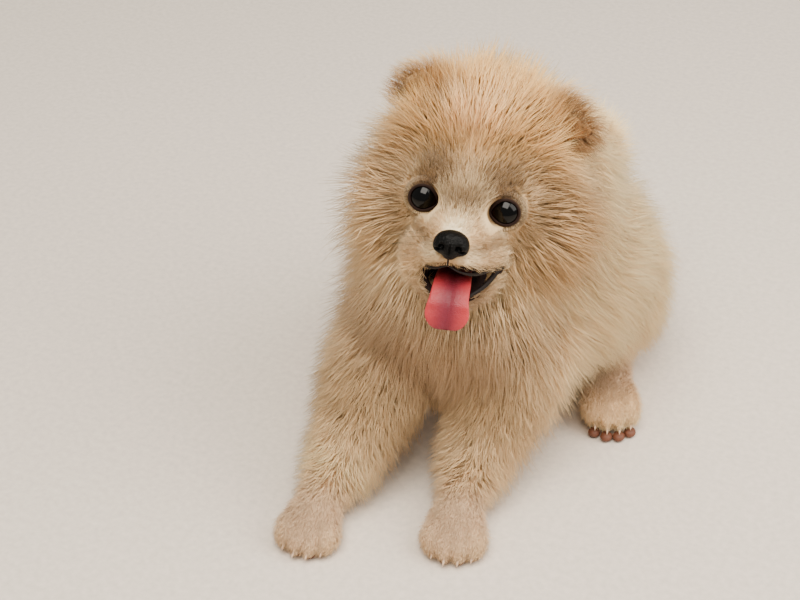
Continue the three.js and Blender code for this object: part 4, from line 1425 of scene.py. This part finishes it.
def grooved(x, y, way, angle):
    """The tongue's cross-section, with a groove along its top and its edges curled up."""
    groove = 0.85 * np.exp(-((x / 1.3) ** 2)) * (np.sin(angle) > 0)
    curl = 0.02 * x**2 * (0.3 + 0.7 * (way < 0.6))
    return x, y - groove + curl


def lip_edges():
    """The dark edges of both lips and the line below the nose. The cheek hides the right corner."""
    for side in SIDES.values():
        upper = [[0.2 * side, -48.4, -22.6], [4.5 * side, -46.4, -24.6], [9 * side, -42, -25.4],
                 [13.6 * side, -33.6, -24.6], [17.6 * side, -26.2, -22.4]]
        lower = [[1 + 2.4 * side, -42.6, -36], [1 + 7.6 * side, -39.6, -34],
                 [0.6 + 12.8 * side, -34, -30], [17.6 * side, -26.4, -23]]
        if side < 0:
            upper, lower = upper[:3], lower[:2]
        yield swept(upper, LIP_WIDTHS[: len(upper)], 12, 30)
        yield swept(lower, LIP_WIDTHS[1 : len(lower) + 1], 12, 26)
    philtrum = [[0, -50.6, -18.8], [0, -50.2, -20.6], [0, -49, -22.8]]
    yield swept(philtrum, [[0.35, 0.5]] * 3, 10, 14, top=(0, -1, 0))


class PUPPY_OT_mouth(bpy.types.Operator):
    """Builds the tongue and the dark edges of the lips."""

    bl_idname = "puppy.mouth"
    bl_label = "Build the mouth"

    def execute(self, context):
        _, _, face = settings()
        top = (0, -0.7, 0.7)
        points, faces = swept(**TONGUE, sides=40, rings=54, top=top, blunt=0.45, shape=grooved)
        # The tint runs from the painted shade at the root to the tongue's own colour at the tip.
        along = np.clip((-18 - points[:, 1]) / 30, 0, 1)[:, None]
        tint = TONGUE_ROOT_SHADE * (1 - along**2) + np.array(face.tongue) * along**2
        aside = points[:, 0] - TONGUE_MIDDLE
        middle = np.exp(-((aside / 3.4) ** 2))[:, None]
        edge = np.clip(np.abs(aside) / 7 - 0.4, 0, 1)[:, None]
        tint = tint * (1 - middle * [0.45, 0.35, 0.2]) * (1 + edge * [0.8, 0.5, 0.2])
        wet = wet_material("Wet tongue")
        made = piece("tongue_body", from_head(points), faces, wet, "tongue", tint)
        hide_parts("tongue")

        points, faces = together(lip_edges())
        tint = np.tile(np.array(face.rim) * LIP_TINT, (len(points), 1))
        dark = wet_material("Dark lips", 0.6)
        piece("lip_edges", from_head(points), faces, dark, "nose_leather", tint)
        return {"FINISHED"}


# Repeated small pieces

# Shapes for copies, one unit long along Z
CLAW = dict(
    spine=[[0, 0, -0.4], [0, 0.02, 0.2], [0, -0.06, 0.65], [0, -0.28, 1.0]],
    sizes=[[0.3, 0.36], [0.28, 0.34], [0.2, 0.24], [0.05, 0.06]], sides=10, rings=12,
)
PAD = dict(
    spine=[[0, 0, -1], [0, 0, 0], [0, 0, 1]], sizes=[[1, 1]] * 3, sides=20, rings=14, blunt=1.0
)
WHISKER = dict(
    spine=[[0, 0, 0], [0, 0.02, 0.4], [0, 0.09, 0.75], [0, 0.2, 1.0]],
    sizes=[[0.09, 0.09], [0.09, 0.09], [0.06, 0.06], [0.02, 0.02]], sides=5, rings=10,
)


def thinned(points):
    """The whisker's points drawn in to a tenth of its thickness."""
    spine = np.array(WHISKER["spine"])
    points = points * [0.1, 1, 1]
    off = points[:, 1] - np.interp(points[:, 2], spine[:, 2], spine[:, 1])
    points[:, 1] = points[:, 1] - off * 0.9
    return points


def copying_nodes(name, wanted):
    """Geometry nodes that copy a shape onto points, and the identifier of each of their inputs."""
    tree = bpy.data.node_groups.new(name, "GeometryNodeTree")
    sockets = tree.interface
    sockets.new_socket("Geometry", in_out="INPUT", socket_type="NodeSocketGeometry")
    keys = {
        key: sockets.new_socket(key, in_out="INPUT", socket_type=kind).identifier
        for key, (kind, _) in wanted.items()
    }
    sockets.new_socket("Geometry", in_out="OUTPUT", socket_type="NodeSocketGeometry")

    def step(kind, output, inputs=(), **settings):
        return add_node(tree, kind, inputs, **settings).outputs[output]

    def stored(key):
        kind = "GeometryNodeInputNamedAttribute"
        return step(kind, "Attribute", {"Name": key}, data_type="FLOAT_VECTOR")

    given = add_node(tree, "NodeGroupInput").outputs
    shape = step("GeometryNodeObjectInfo", "Geometry", {"Object": given["Shape"]})
    inputs = {"Vector": stored("way")}
    turn = step("FunctionNodeAlignRotationToVector", "Rotation", inputs, axis="Z")
    limits = {2: given["Least size"], 3: given["Most size"], "Seed": given["Seed"]}
    vary = step("FunctionNodeRandomValue", 1, limits, data_type="FLOAT")
    inputs = {0: stored("size"), "Scale": vary}
    scale = step("ShaderNodeVectorMath", "Vector", inputs, operation="SCALE")
    inputs = {"Points": given["Geometry"], "Instance": shape, "Rotation": turn, "Scale": scale}
    copied = step("GeometryNodeInstanceOnPoints", "Instances", inputs)
    real = step("GeometryNodeRealizeInstances", "Geometry", {"Geometry": copied})
    inputs = {"Geometry": real, "Material": given["Material"]}
    finished = step("GeometryNodeSetMaterial", "Geometry", inputs)
    add_node(tree, "NodeGroupOutput", {"Geometry": finished})
    return tree, keys


def copies(name, places, ways, sizes, shape, material, vary=0.08):
    """Copies of a shape set on places, each with its Z turned to its own way, as one mesh."""
    points, faces = swept(**shape, top=(0, 1, 0))
    if shape is WHISKER:
        points = thinned(points)
    mesh = bpy.data.meshes.new(f"{name}_shape")
    mesh.from_pydata(points.tolist(), [], faces.tolist())
    one = placed(f"{name}_shape", mesh)
    wanted = {
        "Shape": ("NodeSocketObject", one),
        "Material": ("NodeSocketMaterial", material),
        "Least size": ("NodeSocketFloat", 1 - vary),
        "Most size": ("NodeSocketFloat", 1 + vary),
        "Seed": ("NodeSocketInt", 5),
    }
    tree, keys = copying_nodes(name, wanted)
    mesh = bpy.data.meshes.new(name)
    mesh.from_pydata(in_frame(places).tolist(), [], [])
    add_attribute(mesh, "way", unit(np.asarray(ways, float)))
    add_attribute(mesh, "size", np.asarray(sizes, float) * MM)
    made = placed(name, mesh)
    modifier = made.modifiers.new("Copies", "NODES")
    modifier.node_group = tree
    for key, (_, value) in wanted.items():
        modifier[keys[key]] = value
    bpy.context.view_layer.update()
    seen = made.evaluated_get(bpy.context.evaluated_depsgraph_get())
    solid = bpy.data.meshes.new_from_object(seen)
    made.modifiers.remove(modifier)
    made.data = solid
    solid.polygons.foreach_set("use_smooth", np.ones(len(solid.polygons), bool))
    bpy.data.objects.remove(one)
    if not len(solid.polygons):
        raise RuntimeError(f"{name} came out empty")
    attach(made, "root")
    return made


class PUPPY_OT_paws(bpy.types.Operator):
    """Sets the claws and the pads on the four paws."""

    bl_idname = "puppy.paws"
    bl_label = "Set claws and pads"

    def execute(self, context):
        _, _, face = settings()
        claws, ways, pads, pad_sizes = [], [], [], []
        for paw, size in paws():
            raised = size < TOE_SIZE["front"]
            forth, height, thick = (1.2, 2.2, 2.0) if raised else (-2.0, 1.3, 1.2)
            for _, _, end, ahead in toe_spines(paw, size):
                claws.append(end + ahead * size * 0.36 + [0, 0, -0.4])
                ways.append(ahead + np.array([0, 0, -0.25]))
                pads.append([*(end + ahead * forth)[:2], height])
                pad_sizes.append((2.6, 2.8, thick))
            pads.append([*paw[1][:2], 1.9])
            pad_sizes.append((6.0, 6.0, 1.8))
        horn = plain_material("Pale horn", face.claw, 0.35)
        leather = plain_material("Paw pads", face.pad, 0.6)
        claw_sizes = [(1.9, 1.9, 2.5)] * len(claws)
        copies("claws", claws, ways, claw_sizes, CLAW, horn)
        copies("paw_pads", pads, [UP] * len(pads), pad_sizes, PAD, leather, 0.0)
        return {"FINISHED"}


WHISKER_SEED = 3


class PUPPY_OT_whiskers(bpy.types.Operator):
    """Sets the fine dark hairs at the corners of the mouth and on the muzzle."""

    bl_idname = "puppy.whiskers"
    bl_label = "Set the whiskers"

    def execute(self, context):
        _, _, face = settings()
        random = np.random.default_rng(WHISKER_SEED)
        places, ways, sizes = [], [], []
        for side, row, column in itertools.product(SIDES.values(), range(3), range(4)):
            at = np.array([(9.6 + 1.0 * column) * side, -41 + 3.6 * column, -15 - 2.4 * row])
            places.append(from_head(at + random.normal(size=3) * 0.3))
            way = np.array([0.9 * side, 0.1 + 0.12 * column, -0.25 - 0.12 * row])
            ways.append(HEAD_TURN @ (way + random.normal(size=3) * 0.08))
            long = 13 + 2.5 * column
            sizes.append((1.1, long * 0.6, long))
        dark = plain_material("Dark whiskers", face.rim, 0.5)
        copies("whiskers", places, ways, sizes, WHISKER, dark)
        return {"FINISHED"}


# The stage

CAMERA_AT = np.array([215.012, -499.049, 450.0])
CAMERA_AZIMUTH, CAMERA_PITCH, CAMERA_ROLL = 27.0, 35.75, 1.4
FOCAL, SENSOR = 72.45, 36.0
FLOOR_HALF = 4.0
LIGHTS_AIM = np.array([0, 0, 0.08])
# Each light's place and size in metres, and its colour
LIGHTS = {
    "key": ((0.1, -0.45, 1.2), 0.8, (1, 0.93, 0.83)),
    "fill": ((0.9, 0.1, 0.9), 1.0, (1, 0.95, 0.88)),
}
SKY_COLOUR = (1.0, 0.95, 0.89, 1)


def matrix_of(x, y, z):
    """The turn whose axes point the ways given."""
    return Matrix(np.stack([x, y, z], axis=1).tolist())


class PUPPY_OT_stage(bpy.types.Operator):
    """Sets the floor, the soft lights and the camera."""

    bl_idname = "puppy.stage"
    bl_label = "Set the stage"

    def execute(self, context):
        stage = context.scene.puppy_stage
        mesh = bpy.data.meshes.new("floor")
        corners = np.array([(-1, -1, 0), (1, -1, 0), (1, 1, 0), (-1, 1, 0)]) * FLOOR_HALF
        mesh.from_pydata(corners.tolist(), [], [(0, 1, 2, 3)])
        mesh.materials.append(plain_material("Pale floor", stage.floor, 0.75))
        placed("floor", mesh)

        world = bpy.data.worlds.new("Soft room")
        world.use_nodes = True
        back = world.node_tree.nodes["Background"]
        back.inputs["Color"].default_value = SKY_COLOUR
        back.inputs["Strength"].default_value = stage.sky
        context.scene.world = world
        for name, (place, wide, colour) in LIGHTS.items():
            data = bpy.data.lights.new(name, "AREA")
            data.energy, data.size, data.color = getattr(stage, name), wide, colour
            lamp = placed(name, data)
            lamp.location = place
            z = -unit(LIGHTS_AIM - np.array(place))
            x = unit(np.cross([0.0, 1.0, 0.02], z))
            lamp.rotation_euler = matrix_of(x, np.cross(z, x), z).to_euler()

        azimuth, pitch, roll = np.radians([CAMERA_AZIMUTH, CAMERA_PITCH, CAMERA_ROLL])
        ahead = np.array([-math.sin(azimuth), math.cos(azimuth), 0])
        right = np.array([math.cos(azimuth), math.sin(azimuth), 0])
        view = ahead * math.cos(pitch) - np.array(UP) * math.sin(pitch)
        above = ahead * math.sin(pitch) + np.array(UP) * math.cos(pitch)
        across = right * math.cos(roll) - above * math.sin(roll)
        upright = right * math.sin(roll) + above * math.cos(roll)
        data = bpy.data.cameras.new("camera")
        data.lens, data.sensor_width = FOCAL, SENSOR
        camera = placed("camera", data)
        turn = matrix_of(across, upright, -view).to_4x4()
        camera.matrix_world = Matrix.Translation(in_frame(CAMERA_AT)) @ turn
        context.scene.camera = camera
        return {"FINISHED"}


class PUPPY_PT_panel(bpy.types.Panel):
    """Lists the puppy's pieces and their settings."""

    bl_label = "Puppy"
    bl_idname = "PUPPY_PT_panel"
    bl_space_type = "VIEW_3D"
    bl_region_type = "UI"
    bl_category = "Puppy"

    def draw(self, context):
        for operator in OPERATORS:
            self.layout.operator(operator.bl_idname)
        for name, group in GROUPS.items():
            held = getattr(context.scene, name)
            box = self.layout.box()
            for key in group.__annotations__:
                box.prop(held, key)


OPERATORS = (
    PUPPY_OT_stage,
    PUPPY_OT_skin,
    PUPPY_OT_coat,
    PUPPY_OT_eyes,
    PUPPY_OT_nose,
    PUPPY_OT_mouth,
    PUPPY_OT_paws,
    PUPPY_OT_whiskers,
)
GROUPS = {
    "puppy_markings": PuppyCoatColours,
    "puppy_coat": PuppyCoat,
    "puppy_face": PuppyFace,
    "puppy_stage": PuppyStage,
}


def register():
    for made in (*GROUPS.values(), *OPERATORS, PUPPY_PT_panel):
        bpy.utils.register_class(made)
    for name, group in GROUPS.items():
        setattr(bpy.types.Scene, name, bpy.props.PointerProperty(type=group))


def unregister():
    for name in GROUPS:
        delattr(bpy.types.Scene, name)
    for made in (PUPPY_PT_panel, *reversed(OPERATORS), *reversed(GROUPS.values())):
        bpy.utils.unregister_class(made)


def main():
    register()
    for operator in OPERATORS:
        group, name = operator.bl_idname.split(".")
        getattr(getattr(bpy.ops, group), name)()
    bpy.context.view_layer.update()


if __name__ == "__main__":
    main()
